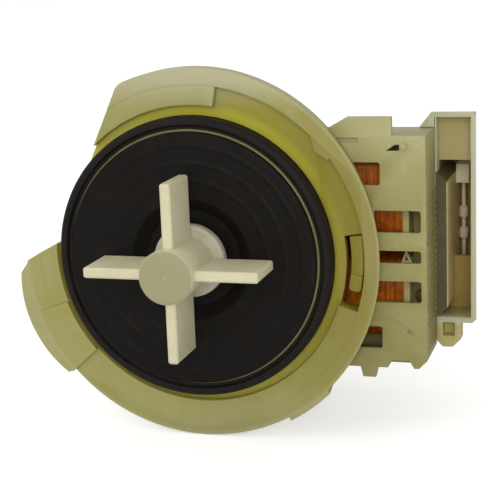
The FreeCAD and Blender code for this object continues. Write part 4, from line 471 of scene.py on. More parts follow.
FINISHES = (
    Finish("pump_flange_skin", Slot.FLANGE, (164, 159, 96), (154, 147, 70), (172, 168, 112), patch=20.0,
           mottle=0.45, milky=0.35, waviness=1.5, bump=0.006, dust_amount=0.06, wear_highlight=(180, 176, 128),
           wear_highlight_reach=0.3, soft=0.45, tints_and_painted_light=(
               # Deeper yellow on every surface behind the front band: painted shade of the recesses.
               TintAndPaintedLight(0.35, 1.9, (157, 148, 40), 0.85, BACK, 0.1),
               # Brighter yellow on the web next to the seal: painted light that lifts the shade in the
               # groove there.
               TintAndPaintedLight(37.2, 34.6, (200, 191, 66), 0.8, BACK, 0.4, Spread.RING),
               # Darker, deeper yellow towards the right: painted shade on the side turned from the light.
               TintAndPaintedLight(14.0, 44.0, (128, 115, 12), 0.65, RIGHT, 3.0),
               TintAndPaintedLight(36.0, 46.0, (152, 148, 110), 0.5, (0.15, 0.0, -1.0), 2.0),
               # Paler towards the top: painted light falling from above.
               TintAndPaintedLight(34.0, 44.0, (190, 186, 158), 0.7, UP, 1.5),
               # Paler outer rim: partly the paler thin edge of the plastic, partly painted light on the rim.
               TintAndPaintedLight(43.6, 44.8, (182, 178, 134), 0.45, BACK, 0.3, Spread.RING),
               # Dark brown spigot rim ahead of the band, in the gap between seal and plate: painted shade.
               TintAndPaintedLight(1.5, 2.2, (112, 103, 68), 0.9, FRONT, 0.3))),
    Finish("coil_cover_skin", Slot.COVER, (158, 152, 95), (146, 138, 76), (170, 165, 111), patch=12.0,
           mottle=0.45, milky=0.15, soft=0.35, tints_and_painted_light=(
               # Darker towards the bottom and paler at the top: painted shade and painted light from light
               # falling from above.
               TintAndPaintedLight(-6.0, 27.0, (142, 134, 78), 0.75, DOWN, 2.0),
               TintAndPaintedLight(20.0, 29.0, (178, 173, 124), 0.7, UP, 2.0),
               # Darker right side by the serrated edge: painted shade.
               TintAndPaintedLight(54.5, 54.75, (128, 119, 68), 0.8, RIGHT, 0.1))),
    Finish("rear_cover_skin", Slot.COVER, (158, 151, 102), (146, 138, 84), (170, 165, 118), patch=12.0),
    Finish("terminal_box_skin", Slot.BOX, (184, 183, 152), (174, 169, 128), (192, 192, 164), mottle=0.45,
           milky=0.15, tints_and_painted_light=(
               # Tan behind the mouth's front frame and brown deeper in: painted shade inside the box.
               TintAndPaintedLight(19.2, 23.2, (184, 168, 110), 0.9, BACK, 0.4),
               TintAndPaintedLight(23.9, 29.0, (162, 136, 66), 0.9, BACK, 0.5),
               # The back face goes back to the plain colour, clear of the painted shade.
               TintAndPaintedLight(43.9, 44.3, (186, 184, 152), 0.9, BACK, 0.1),
               TintAndPaintedLight(19.3, 20.4, (182, 168, 96), 0.85, DOWN, 0.4),
               # The right side and the top go back to the plain colour, clear of the painted shade.
               TintAndPaintedLight(64.2, 64.35, (186, 184, 152), 0.95, RIGHT, 0.05),
               TintAndPaintedLight(32.0, 32.2, (186, 184, 152), 0.95, UP, 0.05))),
    Finish("terminal_side_skin", Slot.BOX, (196, 194, 160), (186, 180, 138), (204, 202, 172), patch=6.0,
           mottle=0.45),
    Finish("core_clip_skin", Slot.BOX, (234, 224, 184), (222, 208, 160), (240, 232, 200), patch=3.0),
    Finish("impeller_skin", Slot.WHITE, (216, 209, 174), (206, 198, 158), (222, 217, 188), patch=8.0,
           mottle=0.45, rough_low=0.4, rough_high=0.6, milky=0.15, wear_highlight=(216, 212, 190), soft=0.3,
           # Darker greenish front of the hub: a greenish stain, and painted shade that keeps the lamp-facing
           # front as dim as the sides.
           tints_and_painted_light=(TintAndPaintedLight(21.6, 22.3, (156, 153, 114), 0.95, FRONT, 0.1),)),
    Finish("coupling_skin", Slot.WHITE, (190, 184, 162), (174, 168, 140), (200, 195, 174), patch=4.0),
    Finish("bobbin_skin", Slot.WHITE, (222, 206, 142), (210, 190, 116), (228, 216, 160), patch=5.0),
    Finish("front_plate_skin", Slot.BLACK, (19, 15, 12), (14, 12, 10), (26, 21, 17), patch=16.0, mottle=0.6,
           rough_low=0.52, rough_high=0.68, specular=0.14, wear_highlight=(34, 30, 25), wear_highlight_reach=0.2,
           dust=(42, 36, 29), bump=0.004, waviness=1.5),
    Finish("seal_rubber", Slot.RUBBER, (27, 23, 20), (20, 18, 17), (34, 30, 26), patch=8.0, rough_low=0.46,
           rough_high=0.62, specular=0.16, wear_highlight=(38, 34, 30), dust=(48, 42, 34), bump=0.005, waviness=1.5),
    Finish("inner_rubber", Slot.RUBBER, (36, 34, 31), (28, 27, 26), (44, 42, 38), patch=3.0, rough_low=0.5,
           rough_high=0.7, specular=0.3, wear_highlight=(50, 48, 44)),
    Finish("shaft_steel", Slot.STEEL, (178, 178, 176), (150, 150, 148), (198, 198, 196), patch=3.0,
           metallic=1.0, rough_low=0.18, rough_high=0.34, specular=0.5, grain=0.12, bump=0.002,
           wear_highlight=(210, 210, 208), dust_amount=0.05, stretch=(0.05, 1.0, 0.05)),
    Finish("screw_steel", Slot.STEEL, (168, 162, 146), (140, 132, 112), (188, 184, 170), patch=2.0,
           metallic=1.0, rough_low=0.25, rough_high=0.45, specular=0.5, grain=0.15, bump=0.003,
           wear_highlight=(205, 200, 188), dust_amount=0.15, dust=(110, 92, 66)),
    Finish("rivet_steel", Slot.STEEL, (120, 112, 70), (104, 96, 58), (134, 126, 84), patch=2.0, metallic=0.3,
           rough_low=0.4, rough_high=0.6, grain=0.15, bump=0.003, wear_highlight=(150, 142, 104)),
    Finish("stack_steel", Slot.CORE, (88, 81, 54), (78, 71, 46), (100, 92, 64), patch=3.5, mottle=0.6,
           metallic=0.1, rough_low=0.42, rough_high=0.62, specular=0.35, grain=0.25, bump=0.008,
           wear_highlight=(134, 124, 96), wear_highlight_reach=0.5, dust=(116, 96, 62), dust_amount=0.18, tints_and_painted_light=(
               # Much paler right side of the stack: painted light on that face.
               TintAndPaintedLight(57.2, 57.5, (240, 219, 160), 0.9, RIGHT, 0.1),
               # Paler olive core inside the cover's windows: painted light in their shade.
               TintAndPaintedLight(-54.9, -54.6, (178, 167, 96), 0.85, LEFT, 0.1))),
    Finish("magnet_ferrite", Slot.MAGNET, (52, 50, 48), (42, 41, 40), (66, 63, 60), patch=2.5, rough_low=0.5,
           rough_high=0.72, metallic=0.1, grain=0.2, bump=0.02, wear_highlight=(84, 80, 76)),
    Finish("bush_bronze", Slot.BUSH, (122, 98, 62), (98, 78, 50), (142, 116, 78), patch=1.6, metallic=0.8,
           grain=0.15, bump=0.01, wear_highlight=(160, 134, 92)),
    Finish("winding_enamel", Slot.WINDING, (226, 112, 14), (158, 60, 8), (246, 152, 30), patch=5.0,
           mottle=0.8, rough_low=0.25, rough_high=0.4, metallic=0.1, specular=0.35, grain=0.3, bump=0.004,
           wear_highlight=(232, 156, 50), coat=0.15, dust_amount=0.05, stretch=(1.0, 0.03, 0.03), drawn=0.75),
    Finish("tab_brass", Slot.TAB, (186, 174, 132), (164, 148, 104), (204, 196, 160), patch=2.0, metallic=1.0,
           rough_low=0.22, rough_high=0.38, specular=0.5, grain=0.12, bump=0.002, wear_highlight=(216, 208, 178),
           stretch=(1.0, 0.06, 1.0), dust_amount=0.05),
)


def placed(name: str, data: bpy.types.ID) -> bpy.types.Object:
    """Put an object in the scene.

    Args:
        name: name of the object.
        data: its mesh, light or camera.

    Returns:
        The object.
    """
    holder = bpy.data.objects.new(name, data)
    bpy.context.scene.collection.objects.link(holder)
    return holder


def node_copy(node: str, merge: float = 0.002, flat: float = 0.6) -> Work:
    """Copy of a CAD node's mesh, with its flat faces joined up.

    Args:
        node: name of the node.
        merge: vertices nearer than this, in millimetres, become one.
        flat: faces that turn less than this, in degrees, become one.

    Returns:
        The copy, in metres.
    """
    work = bmesh.new()
    work.from_mesh(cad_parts[node].data)
    bmesh.ops.remove_doubles(work, verts=work.verts, dist=merge * MM)
    bmesh.ops.dissolve_limit(work, angle_limit=math.radians(flat), use_dissolve_boundaries=False,
                             verts=work.verts, edges=work.edges)
    return work


def finished(name: str, *parts: Work) -> bpy.types.Mesh:
    """Turn working meshes into one mesh with outward faces.

    Args:
        name: name of the mesh.
        parts: the working meshes, which are freed.

    Returns:
        The mesh.
    """
    whole = bmesh.new()
    for part in parts:
        bmesh.ops.recalc_face_normals(part, faces=part.faces)
        spare = bpy.data.meshes.new("spare")
        part.to_mesh(spare)
        part.free()
        whole.from_mesh(spare)
        bpy.data.meshes.remove(spare)
    mesh = bpy.data.meshes.new(name)
    whole.to_mesh(mesh)
    whole.free()
    return mesh


def bridge(work: Work, rings: Sequence[Sequence[bmesh.types.BMVert]], closed: bool = True) -> None:
    """Make the faces between each ring of vertices and the next.

    Args:
        work: the working mesh.
        rings: the rings, which have equal numbers of vertices.
        closed: whether the last vertex of a ring joins its first.
    """
    for first, second in zip(rings, rings[1:]):
        count = len(first)
        for number in range(count if closed else count - 1):
            after = (number + 1) % count
            work.faces.new((first[number], first[after], second[after], second[number]))


def around(centre: Point2, radius: float, angle: float, y: float) -> Place:
    """Point in metres that lies at an angle round a line parallel to the pump axis."""
    return (centre[0] + radius * math.cos(angle)) * MM, y * MM, (centre[1] + radius * math.sin(angle)) * MM


def softened(corners: Sequence[Corner], steps: int = 4) -> list[Point2]:
    """Closed outline whose corners are rounded.

    Args:
        corners: (across, along, rounding radius) of each corner, in millimetres.
        steps: points along each rounded corner, less one.

    Returns:
        Points of the outline.
    """
    points: list[Point2] = []
    for number, (across, along, radius) in enumerate(corners):
        if radius <= 0.0:
            points.append((across, along))
            continue
        here = Vector((across, along))
        before = Vector(corners[number - 1][:2]) - here
        after = Vector(corners[(number + 1) % len(corners)][:2]) - here
        half = before.angle(after) / 2
        back = min(radius / math.tan(half), before.length * 0.49, after.length * 0.49)
        first, last = here + before.normalized() * back, here + after.normalized() * back
        for step in range(steps + 1):
            share = step / steps
            point = first.lerp(here, share).lerp(here.lerp(last, share), share)
            points.append((point.x, point.y))
    return points


def rounded_box(half_y: float, half_z: float, corner: float, steps: int = 4) -> list[Point2]:
    """Outline of a rectangle with round corners about the origin.

    Args:
        half_y: half its size along y.
        half_z: half its size along z.
        corner: radius of its corners.
        steps: steps round each corner.

    Returns:
        (y, z) points of the outline.
    """
    points = []
    for sign_y, sign_z, start in ((1, 1, 0), (-1, 1, 90), (-1, -1, 180), (1, -1, 270)):
        for step in range(steps + 1):
            angle = math.radians(start + 90 * step / steps)
            points.append((sign_y * (half_y - corner) + corner * math.cos(angle),
                           sign_z * (half_z - corner) + corner * math.sin(angle)))
    return points


def turned(profile: Sequence[Point2], sides: int, centre: Point2 = (0.0, 0.0)) -> Work:
    """Turn a closed profile about a line parallel to the pump axis.

    Args:
        profile: (radius, y) points in millimetres. One that starts on the line also ends on it.
        sides: number of steps round.
        centre: x and z of the line in millimetres.

    Returns:
        The turned mesh, in metres.
    """
    work = bmesh.new()
    rings = [[work.verts.new(around(centre, radius, 2 * math.pi * step / sides, y)) for radius, y in profile]
             for step in range(sides)]
    bridge(work, rings + rings[:1], closed=profile[0][0] > 0.0)
    bmesh.ops.remove_doubles(work, verts=work.verts, dist=0.0005 * MM)
    return work


def swept(path: Sequence[Vector], radius: float, sides: int = 6) -> Work:
    """Round wire along a path.

    Args:
        path: points along the wire's middle, in millimetres.
        radius: radius of the wire in millimetres.
        sides: corners of its section.

    Returns:
        The wire's mesh, in metres.
    """
    work = bmesh.new()
    rings = []
    for number, point in enumerate(path):
        ahead = path[min(number + 1, len(path) - 1)] - path[max(number - 1, 0)]
        along = ahead.normalized()
        side = Vector(RIGHT).cross(along).normalized()
        top = along.cross(side)
        ring = []
        for corner in range(sides):
            angle = 2 * math.pi * corner / sides
            place = point + side * (radius * math.cos(angle)) + top * (radius * math.sin(angle))
            ring.append(work.verts.new(place * MM))
        rings.append(ring)
    bridge(work, rings)
    work.faces.new(rings[0][::-1])
    work.faces.new(rings[-1])
    return work


def slab(outline: Sequence[Point2], front: float, depth: float) -> Work:
    """Flat plate with an outline in x and z.

    Args:
        outline: corners in millimetres.
        front: y of its front face in millimetres.
        depth: its thickness in millimetres.

    Returns:
        The plate's mesh, in metres.
    """
    work = bmesh.new()
    rings = [[work.verts.new((x * MM, y * MM, z * MM)) for x, z in outline] for y in (front, front + depth)]
    bridge(work, rings)
    for ring in rings:
        work.faces.new(ring)
    return work


class Workshop:
    """Materials, and the calls that turn meshes into dressed pieces on their bodies."""

    def __init__(self) -> None:
        """Build every finish."""
        effects = Effects()
        self.finishes = {finish.name: finish for finish in FINISHES}
        self.materials = {finish.name: finish.make(effects) for finish in FINISHES}
        self.pieces: list[bpy.types.Object] = []

    def piece(self, name: str, parts: Sequence[Work], finish: str, nodes: Sequence[str] = (),
              body: Body = Body.HOUSING, bevel: float = 0.0, angle: float = 30.0, segments: int = 2) -> None:
        """Put working meshes in the scene as one dressed piece.

        Args:
            name: name of the piece.
            parts: its working meshes, in metres in the frame.
            finish: name of its finish.
            nodes: CAD nodes that it stands for.
            body: the body it rides on.
            bevel: width of its rounded edges in millimetres, or 0 for none.
            angle: edges sharper than this, in degrees, are rounded or kept sharp.
            segments: steps across a rounded edge.
        """
        mesh = finished(name, *parts)
        piece = placed(name, mesh)
        mesh.materials.clear()
        mesh.materials.append(self.materials[finish])
        mesh.polygons.foreach_set("use_smooth", [True] * len(mesh.polygons))
        if bevel > 0.0:
            rounding = piece.modifiers.new("rounded_edges", "BEVEL")
            rounding.width = bevel * MM
            rounding.segments = segments
            rounding.limit_method = "ANGLE"
            rounding.angle_limit = math.radians(angle)
            rounding.harden_normals = True
            rounding.use_clamp_overlap = True
            rounding.miter_outer = "MITER_ARC"
        else:
            mesh.set_sharp_from_angle(angle=math.radians(angle))
        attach(piece, body.value)
        if nodes:
            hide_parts(*nodes)
        self.pieces.append(piece)

    def copy(self, node: str, name: str, finish: str, bevel: float, body: Body = Body.HOUSING,
             segments: int = 2) -> None:
        """Round and dress a copy of a CAD node that takes the node's place."""
        self.piece(name, [node_copy(node)], finish, [node], body, bevel, segments=segments)

    def dress_nodes(self, finish: str, *nodes: str) -> None:
        """Give kept CAD nodes one of the finishes.

        Args:
            finish: name of the finish.
            nodes: names of the nodes.
        """
        for node in nodes:
            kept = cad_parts[node]
            if not kept.material_slots:
                kept.data.materials.append(self.materials[finish])
            for slot in kept.material_slots:
                slot.link = "OBJECT"
                slot.material = self.materials[finish]


@dataclass
class Assembly:
    """Sub-assembly whose pieces are dressed in a workshop. Its sizes are in millimetres."""

    shop: Workshop


@dataclass
class PumpHead(Assembly):
    """Translucent bayonet flange with its rotor can, and the latch tongue in its opening."""

    edge: float = 0.3
    tongue_edge: float = 0.2
    radius: float = 45.0
    back: float = 4.9
    shrinkage: float = 0.4
    pad_front: float = 0.25
    pad_rise: float = 0.17
    pad_play: float = 0.02
    draft: float = 1.1
    lobe_share: float = 0.8

    def moulded(self) -> Work:
        """Flange whose rim has the moulding's draft and shrinkage, with shallow pads.

        Returns:
            The working mesh.
        """
        work = node_copy("pump_flange")
        for vertex in work.verts:
            reach = math.hypot(vertex.co.x, vertex.co.z) / MM
            if abs(vertex.co.y / MM - self.pad_front) < self.pad_play:
                vertex.co.y -= self.pad_rise * MM
            if reach < self.radius - NEAR:
                continue
            aside = vertex.co.x / MM / reach
            drawn = self.radius + (reach - self.radius) * self.lobe_share - self.shrinkage * aside ** 2
            if vertex.co.y / MM > self.back - NEAR:
                drawn -= self.draft * max(0.0, aside) ** 2
            vertex.co.x *= drawn / reach
            vertex.co.z *= drawn / reach
        return work

    def build(self) -> None:
        """Build the flange and the tongue."""
        self.shop.piece("flange_moulding", [self.moulded()], "pump_flange_skin", ["pump_flange"],
                        bevel=self.edge)
        self.shop.copy("latch_tongue", "latch_moulding", "pump_flange_skin", self.tongue_edge, Body.LATCH)


@dataclass
class Seals(Assembly):
    """Rubber ring on the spigot, the chamber's inner ring and the shaft's lip seal."""

    land: float = 31.05
    radius: float = 34.0
    front: float = -2.5
    bead: float = -3.5
    back: float = 2.2
    sides: int = 160

    def build(self) -> None:
        """Build the ring and dress the two inner seals."""
        ring = softened([
            (self.land, self.front, 0.15), (self.land + 0.6, self.front, 0.2),
            (self.land + 1.1, self.bead, 0.4), (self.radius - 0.8, self.bead, 0.5),
            (self.radius - 0.1, self.bead + 0.6, 0.6), (self.radius, self.front + 1.3, 0.5),
            (self.radius - 0.35, self.front + 2.1, 0.25), (self.radius, self.front + 2.9, 0.5),
            (self.radius - 0.3, self.back - 0.7, 0.6), (self.radius - 1.1, self.back, 0.4),
            (self.land, self.back, 0.15),
        ])
        self.shop.piece("spigot_seal", [turned(ring, self.sides)], "seal_rubber", ["seal_ring"], angle=50.0)
        self.shop.dress_nodes("inner_rubber", "chamber_seal", "shaft_seal")


@dataclass
class FrontPlate(Assembly):
    """Black dished plate that closes the rotor chamber, with soft concentric ridges."""

    rim: float = 30.5
    front: float = -4.0
    spigot: float = -2.5
    wall: float = 1.8
    skirt: float = 28.7
    skirt_wall: float = 2.0
    skirt_end: float = 0.5
    ridges: tuple[float, ...] = (27.4, 23.2, 19.0)
    ridge_height: float = 0.2
    ridge_foot: float = 0.85
    dish: float = 14.6
    dish_floor: float = 11.6
    dish_y: float = -1.4
    pocket: float = 5.65
    pocket_end: float = 1.2
    passage: float = 3.0
    holder: float = 6.6
    holder_start: float = 4.0
    boss: float = 9.0
    boss_end: float = 9.6
    sides: int = 160

    def profile(self) -> list[Point2]:
        """Rounded profile of the plate.

        Returns:
            (radius, y) points in millimetres.
        """
        inside, back = self.skirt - self.skirt_wall, self.front + self.wall
        corners = [
            (self.pocket, self.dish_y, 0.15), (self.pocket, self.pocket_end, 0.0),
            (self.passage, self.pocket_end, 0.1), (self.passage, self.holder_start, 0.1),
            (self.holder, self.holder_start, 0.0), (self.holder, self.boss_end, 0.2),
            (self.boss, self.boss_end, 0.3), (self.boss, self.dish_y + self.wall, 0.5),
            (self.dish, self.dish_y + self.wall, 0.4), (self.dish + self.wall, back, 0.4),
            (inside, back, 0.3), (inside, self.skirt_end, 0.2), (self.skirt, self.skirt_end, 0.2),
            (self.skirt, self.spigot, 0.0), (self.rim, self.spigot, 0.1), (self.rim, self.front, 0.45),
        ]
        for ridge in self.ridges:
            corners += [(ridge + self.ridge_foot, self.front, 0.5),
                        (ridge, self.front - self.ridge_height, 0.6),
                        (ridge - self.ridge_foot, self.front, 0.5)]
        corners += [(self.dish, self.front, 0.6), (self.dish_floor, self.dish_y, 0.6)]
        return softened(corners)

    def build(self) -> None:
        """Build the plate and dress the bearings in its boss and in the can."""
        self.shop.piece("chamber_plate", [turned(self.profile(), self.sides)], "front_plate_skin",
                        ["front_plate"], angle=40.0)
        self.shop.dress_nodes("inner_rubber", "front_bearing_seat", "rear_bearing_seat")
        self.shop.dress_nodes("bush_bronze", "front_bearing", "rear_bearing")


@dataclass
class Impeller(Assembly):
    """Four-bladed impeller with its coupling cap and the rubber pads inside the hub."""

    edge: float = 0.3
    cap_radius: float = 8.8
    cap_front: float = -5.6
    cap_back: float = -3.0
    collar: float = 5.25
    collar_front: float = -7.2
    bore: float = 2.09
    cap_sides: int = 96

    def build(self) -> None:
        """Build the impeller and its cap, and dress the pads."""
        self.shop.copy("impeller", "pump_wheel", "impeller_skin", self.edge, Body.IMPELLER, segments=3)
        cap = softened([
            (self.bore, self.collar_front, 0.1), (self.collar, self.collar_front, 0.1),
            (self.collar, self.cap_front, 0.0), (self.cap_radius, self.cap_front, 0.9),
            (self.cap_radius, self.cap_back, 0.3), (self.bore, self.cap_back, 0.1),
        ])
        self.shop.piece("wheel_cap", [turned(cap, self.cap_sides)], "coupling_skin", ["coupling_cap"],
                        Body.IMPELLER, angle=50.0)
        self.shop.dress_nodes("inner_rubber", "dog_buffers")


@dataclass
class Rotor(Assembly):
    """Shaft, ferrite magnet, its carrier, the thrust washers and the drive dog."""

    edge: float = 0.15

    def build(self) -> None:
        """Round and dress the rotor's pieces."""
        for node, name, finish in (
            ("rotor_shaft", "ground_shaft", "shaft_steel"),
            ("rotor_magnet", "ferrite_ring", "magnet_ferrite"),
            ("magnet_carrier", "carrier_moulding", "front_plate_skin"),
            ("drive_dog", "dog_moulding", "front_plate_skin"),
        ):
            self.shop.copy(node, name, finish, self.edge, Body.ROTOR)
        self.shop.dress_nodes("bobbin_skin", "front_thrust_washer", "rear_thrust_washer")


@dataclass
class Stator(Assembly):
    """Laminated core with its rivets, the two bobbins and their windings."""

    front: float = 18.8
    depth: float = 22.4
    sheets: int = 45
    groove: float = 0.05
    groove_half: float = 0.07
    groove_play: float = 0.01
    cut_play: float = 1e-7
    bobbin_edge: float = 0.25
    coil_start: float = 24.2
    coil_end: float = 47.55
    coil_y: float = 30.0
    coil_z: float = 12.75
    half_y: float = 16.05
    half_z: float = 9.6
    corner: float = 2.8
    wire: float = 0.3
    wire_overlap: float = 1.03
    turns: int = 76
    seed: int = 5
    sink: float = 0.05
    lean: float = 0.02
    core_inset: float = 0.22
    guide: tuple[tuple[Point2, ...], ...] = (
        ((46.6, -4.6), (47.3, -4.6), (48.75, -0.9), (48.5, -0.1), (48.25, -0.6)),
        ((50.6, -4.6), (49.9, -4.6), (48.25, -0.9), (48.5, -0.1), (48.75, -0.6)),
    )
    guide_front: float = 12.9
    guide_depth: float = 1.0
    guide_edge: float = 0.15
    rivets: tuple[Point2, ...] = ((51.35, 12.75), (51.35, -12.75), (0.0, 17.9), (0.0, -17.9))
    rivet_radius: float = 1.2
    rivet_head: float = 1.9
    rivet_rise: float = 0.8
    rivet_sag: float = 0.02
    rivet_arc: tuple[int, ...] = (20, 40, 60, 78)
    rivet_sides: int = 32

    def laminations(self) -> Work:
        """Core whose sides show the edges of its sheets.

        Returns:
            The working mesh.
        """
        work = node_copy("stator_core")
        pitch = self.depth / self.sheets
        grooves = [self.front + number * pitch for number in range(1, self.sheets)]
        for middle in grooves:
            for place in (middle - self.groove_half, middle, middle + self.groove_half):
                bmesh.ops.bisect_plane(work, geom=work.verts[:] + work.edges[:] + work.faces[:],
                                       plane_co=(0.0, place * MM, 0.0), plane_no=BACK,
                                       dist=self.cut_play)
        bmesh.ops.recalc_face_normals(work, faces=work.faces)
        work.normal_update()
        sunk = [vertex for vertex in work.verts
                if min(abs(vertex.co.y / MM - middle) for middle in grooves) < self.groove_play]
        for vertex in sunk:
            vertex.co -= vertex.normal * (self.groove * MM)
        return work

    def wire_path(self, side: int) -> list[Vector]:
        """Middle line of one winding's outer layer.

        Args:
            side: 1 for the upper leg, -1 for the lower.

        Returns:
            Points in millimetres.
        """
        shake = random.Random(self.seed + side)
        half = self.wire / 2
        flat = rounded_box(self.half_y - half, self.half_z - half, self.corner)
        start, end = self.coil_start + half, self.coil_end - half
        points = []
        for turn in range(self.turns):
            scale = 1.0 - shake.uniform(0.0, self.sink) / self.half_y
            lean = shake.uniform(-self.lean, self.lean)
            for number, (y, z) in enumerate(flat):
                share = (turn + number / len(flat)) / self.turns
                points.append(Vector((start + (end - start) * share + lean,
                                      self.coil_y + y * scale, side * (self.coil_z + z * scale))))
        return points

    def winding(self, side: int) -> list[Work]:
        """Wound coil: every turn of its outer layer, over a sleeve that closes the gaps.

        Args:
            side: 1 for the upper leg, -1 for the lower.

        Returns:
            The working meshes.
        """
        wires = swept(self.wire_path(side), self.wire / 2 * self.wire_overlap)
        sleeve = bmesh.new()
        outline = rounded_box(self.half_y - self.core_inset, self.half_z - self.core_inset, self.corner)
        bridge(sleeve, [[sleeve.verts.new((x * MM, (self.coil_y + y) * MM, side * (self.coil_z + z) * MM))
                         for y, z in outline] for x in (self.coil_start, self.coil_end)])
        return [wires, sleeve]

    def rivet_profile(self) -> list[Point2]:
        """Profile of a rivet with domed heads.

        Returns:
            (radius, y) points in millimetres.
        """
        front, back = self.front, self.front + self.depth
        dome = [(self.rivet_head * math.sin(math.radians(angle)),
                 self.rivet_rise * math.cos(math.radians(angle))) for angle in self.rivet_arc]
        return [(0.0, front - self.rivet_rise),
                *((radius, front - rise - self.rivet_sag) for radius, rise in dome),
                (self.rivet_head, front), (self.rivet_radius, front), (self.rivet_radius, back),
                (self.rivet_head, back), *((radius, back + rise) for radius, rise in reversed(dome)),
                (0.0, back + self.rivet_rise)]

    def build(self) -> None:
        """Build the core, rivets, wire guide, bobbins and windings."""
        self.shop.piece("lamination_stack", [self.laminations()], "stack_steel", ["stator_core"], angle=25.0)
        rivets = [turned(self.rivet_profile(), self.rivet_sides, spot) for spot in self.rivets]
        self.shop.piece("core_rivet_heads", rivets, "rivet_steel", ["core_rivets"], angle=50.0)
        legs = [slab(leg, self.guide_front, self.guide_depth) for leg in self.guide]
        self.shop.piece("wire_guide", legs, "bobbin_skin", bevel=self.guide_edge)
        for side, word in ((1, "upper"), (-1, "lower")):
            self.shop.copy(word + "_bobbin", word + "_former", "bobbin_skin", self.bobbin_edge)
            self.shop.piece(word + "_winding", self.winding(side), "winding_enamel", [word + "_coil"],
                            angle=60.0)


@dataclass
class Covers(Assembly):
    """Coil cover in front of the windings, the rear cover behind them, and the motor screws."""

    edge: float = 0.22
    rear_edge: float = 0.3
    spots: tuple[Point2, ...] = ((-27.4, 0.0), (15.0, 26.4), (15.0, -26.4))
    shank: float = 1.5
    core: float = 1.12
    tip_y: float = 9.8
    seat_y: float = 21.8
    head: float = 2.9
    head_rise: float = 1.8
    head_sides: int = 40
    recess_arm: float = 1.7
    recess_width: float = 0.55
    recess_depth: float = 0.9
    pitch: float = 1.1
    thread_half: float = 0.28
    thread_steps: int = 16
    sill: tuple[Point2, ...] = ((24.5, -26.6), (44.5, -26.6), (44.5, -24.8), (24.5, -24.8))
    sill_front: float = 18.8
    sill_depth: float = 1.1
    sill_edge: float = 0.15

    def screw(self, spot: Point2) -> Work:
        """One thread-forming screw with a domed head.

        Args:
            spot: x and z of its line in millimetres.

        Returns:
            The working mesh.
        """
        tip, seat, top = self.tip_y, self.seat_y, self.seat_y + self.head_rise
        neck = self.shank - 0.05
        profile = [
            (0.0, tip), (self.core * 0.6, tip), (self.core, tip + 0.8), (self.core, seat - 1.6),
            (neck, seat - 1.2), (neck, seat), (self.head - 0.15, seat), (self.head, seat + 0.15),
            (self.head, seat + 0.8), (self.head * 0.93, top - 0.45), (self.head * 0.75, top - 0.15),
            (self.head * 0.5, top - 0.02), (0.0, top),
        ]
        return turned(profile, self.head_sides, spot)

    def thread(self, spot: Point2) -> Work:
        """Helical ridge of one screw.

        Args:
            spot: x and z of its line in millimetres.

        Returns:
            The working mesh.
        """
        work = bmesh.new()
        rings = []
        start, end = self.tip_y + 0.9, self.seat_y - 1.8
        root, crest = self.core - 0.05, self.shank - 0.02
        steps = int((end - start) / self.pitch * self.thread_steps)
        for step in range(steps + 1):
            angle = 2 * math.pi * step / self.thread_steps
            y = start + (end - start) * step / steps
            ridge = ((root, -self.thread_half), (crest, 0.0), (root, self.thread_half))
            rings.append([work.verts.new(around(spot, radius, angle, y + shift)) for radius, shift in ridge])
        bridge(work, rings, closed=False)
        return work

    def recess_cutter(self) -> bpy.types.Object:
        """Cross-shaped cutter for the three screw heads.

        Returns:
            The cutter, which rides on nothing and is removed after use.
        """
        work = bmesh.new()
        top = self.seat_y + self.head_rise
        arm, width = self.recess_arm, self.recess_width
        for x, z in self.spots:
            for long_x, long_z in ((arm, width), (width, arm)):
                box = bmesh.ops.create_cube(work, size=1.0)["verts"]
                size = (2 * long_x * MM, 2 * self.recess_depth * MM, 2 * long_z * MM)
                bmesh.ops.scale(work, verts=box, vec=size)
                bmesh.ops.translate(work, verts=box, vec=(x * MM, top * MM, z * MM))
        return placed("recess_cutter", finished("recess_cutter", work))

    def screws(self) -> list[Work]:
        """The three screws with their recesses and threads.

        Returns:
            The working meshes.
        """
        heads = placed("heads", finished("heads", *[self.screw(spot) for spot in self.spots]))
        cutter = self.recess_cutter()
        cut = heads.modifiers.new("recess", "BOOLEAN")
        cut.object = cutter
        cut.operation = "DIFFERENCE"
        cut.solver = "EXACT"
        cut.use_self = True
        evaluated = heads.evaluated_get(bpy.context.evaluated_depsgraph_get())
        work = bmesh.new()
        work.from_mesh(bpy.data.meshes.new_from_object(evaluated))
        for spare in (heads, cutter):
            bpy.data.objects.remove(spare)
        return [work] + [self.thread(spot) for spot in self.spots]

    def build(self) -> None:
        """Build both covers, the sill between them and the screws."""
        self.shop.copy("coil_cover", "front_coil_shell", "coil_cover_skin", self.edge)
        self.shop.copy("rear_cover", "rear_motor_shell", "rear_cover_skin", self.rear_edge)
        sill = slab(self.sill, self.sill_front, self.sill_depth)
        self.shop.piece("cover_sill", [sill], "coil_cover_skin", bevel=self.sill_edge)
        self.shop.piece("motor_screw_set", self.screws(), "screw_steel", ["motor_screws"], angle=40.0)


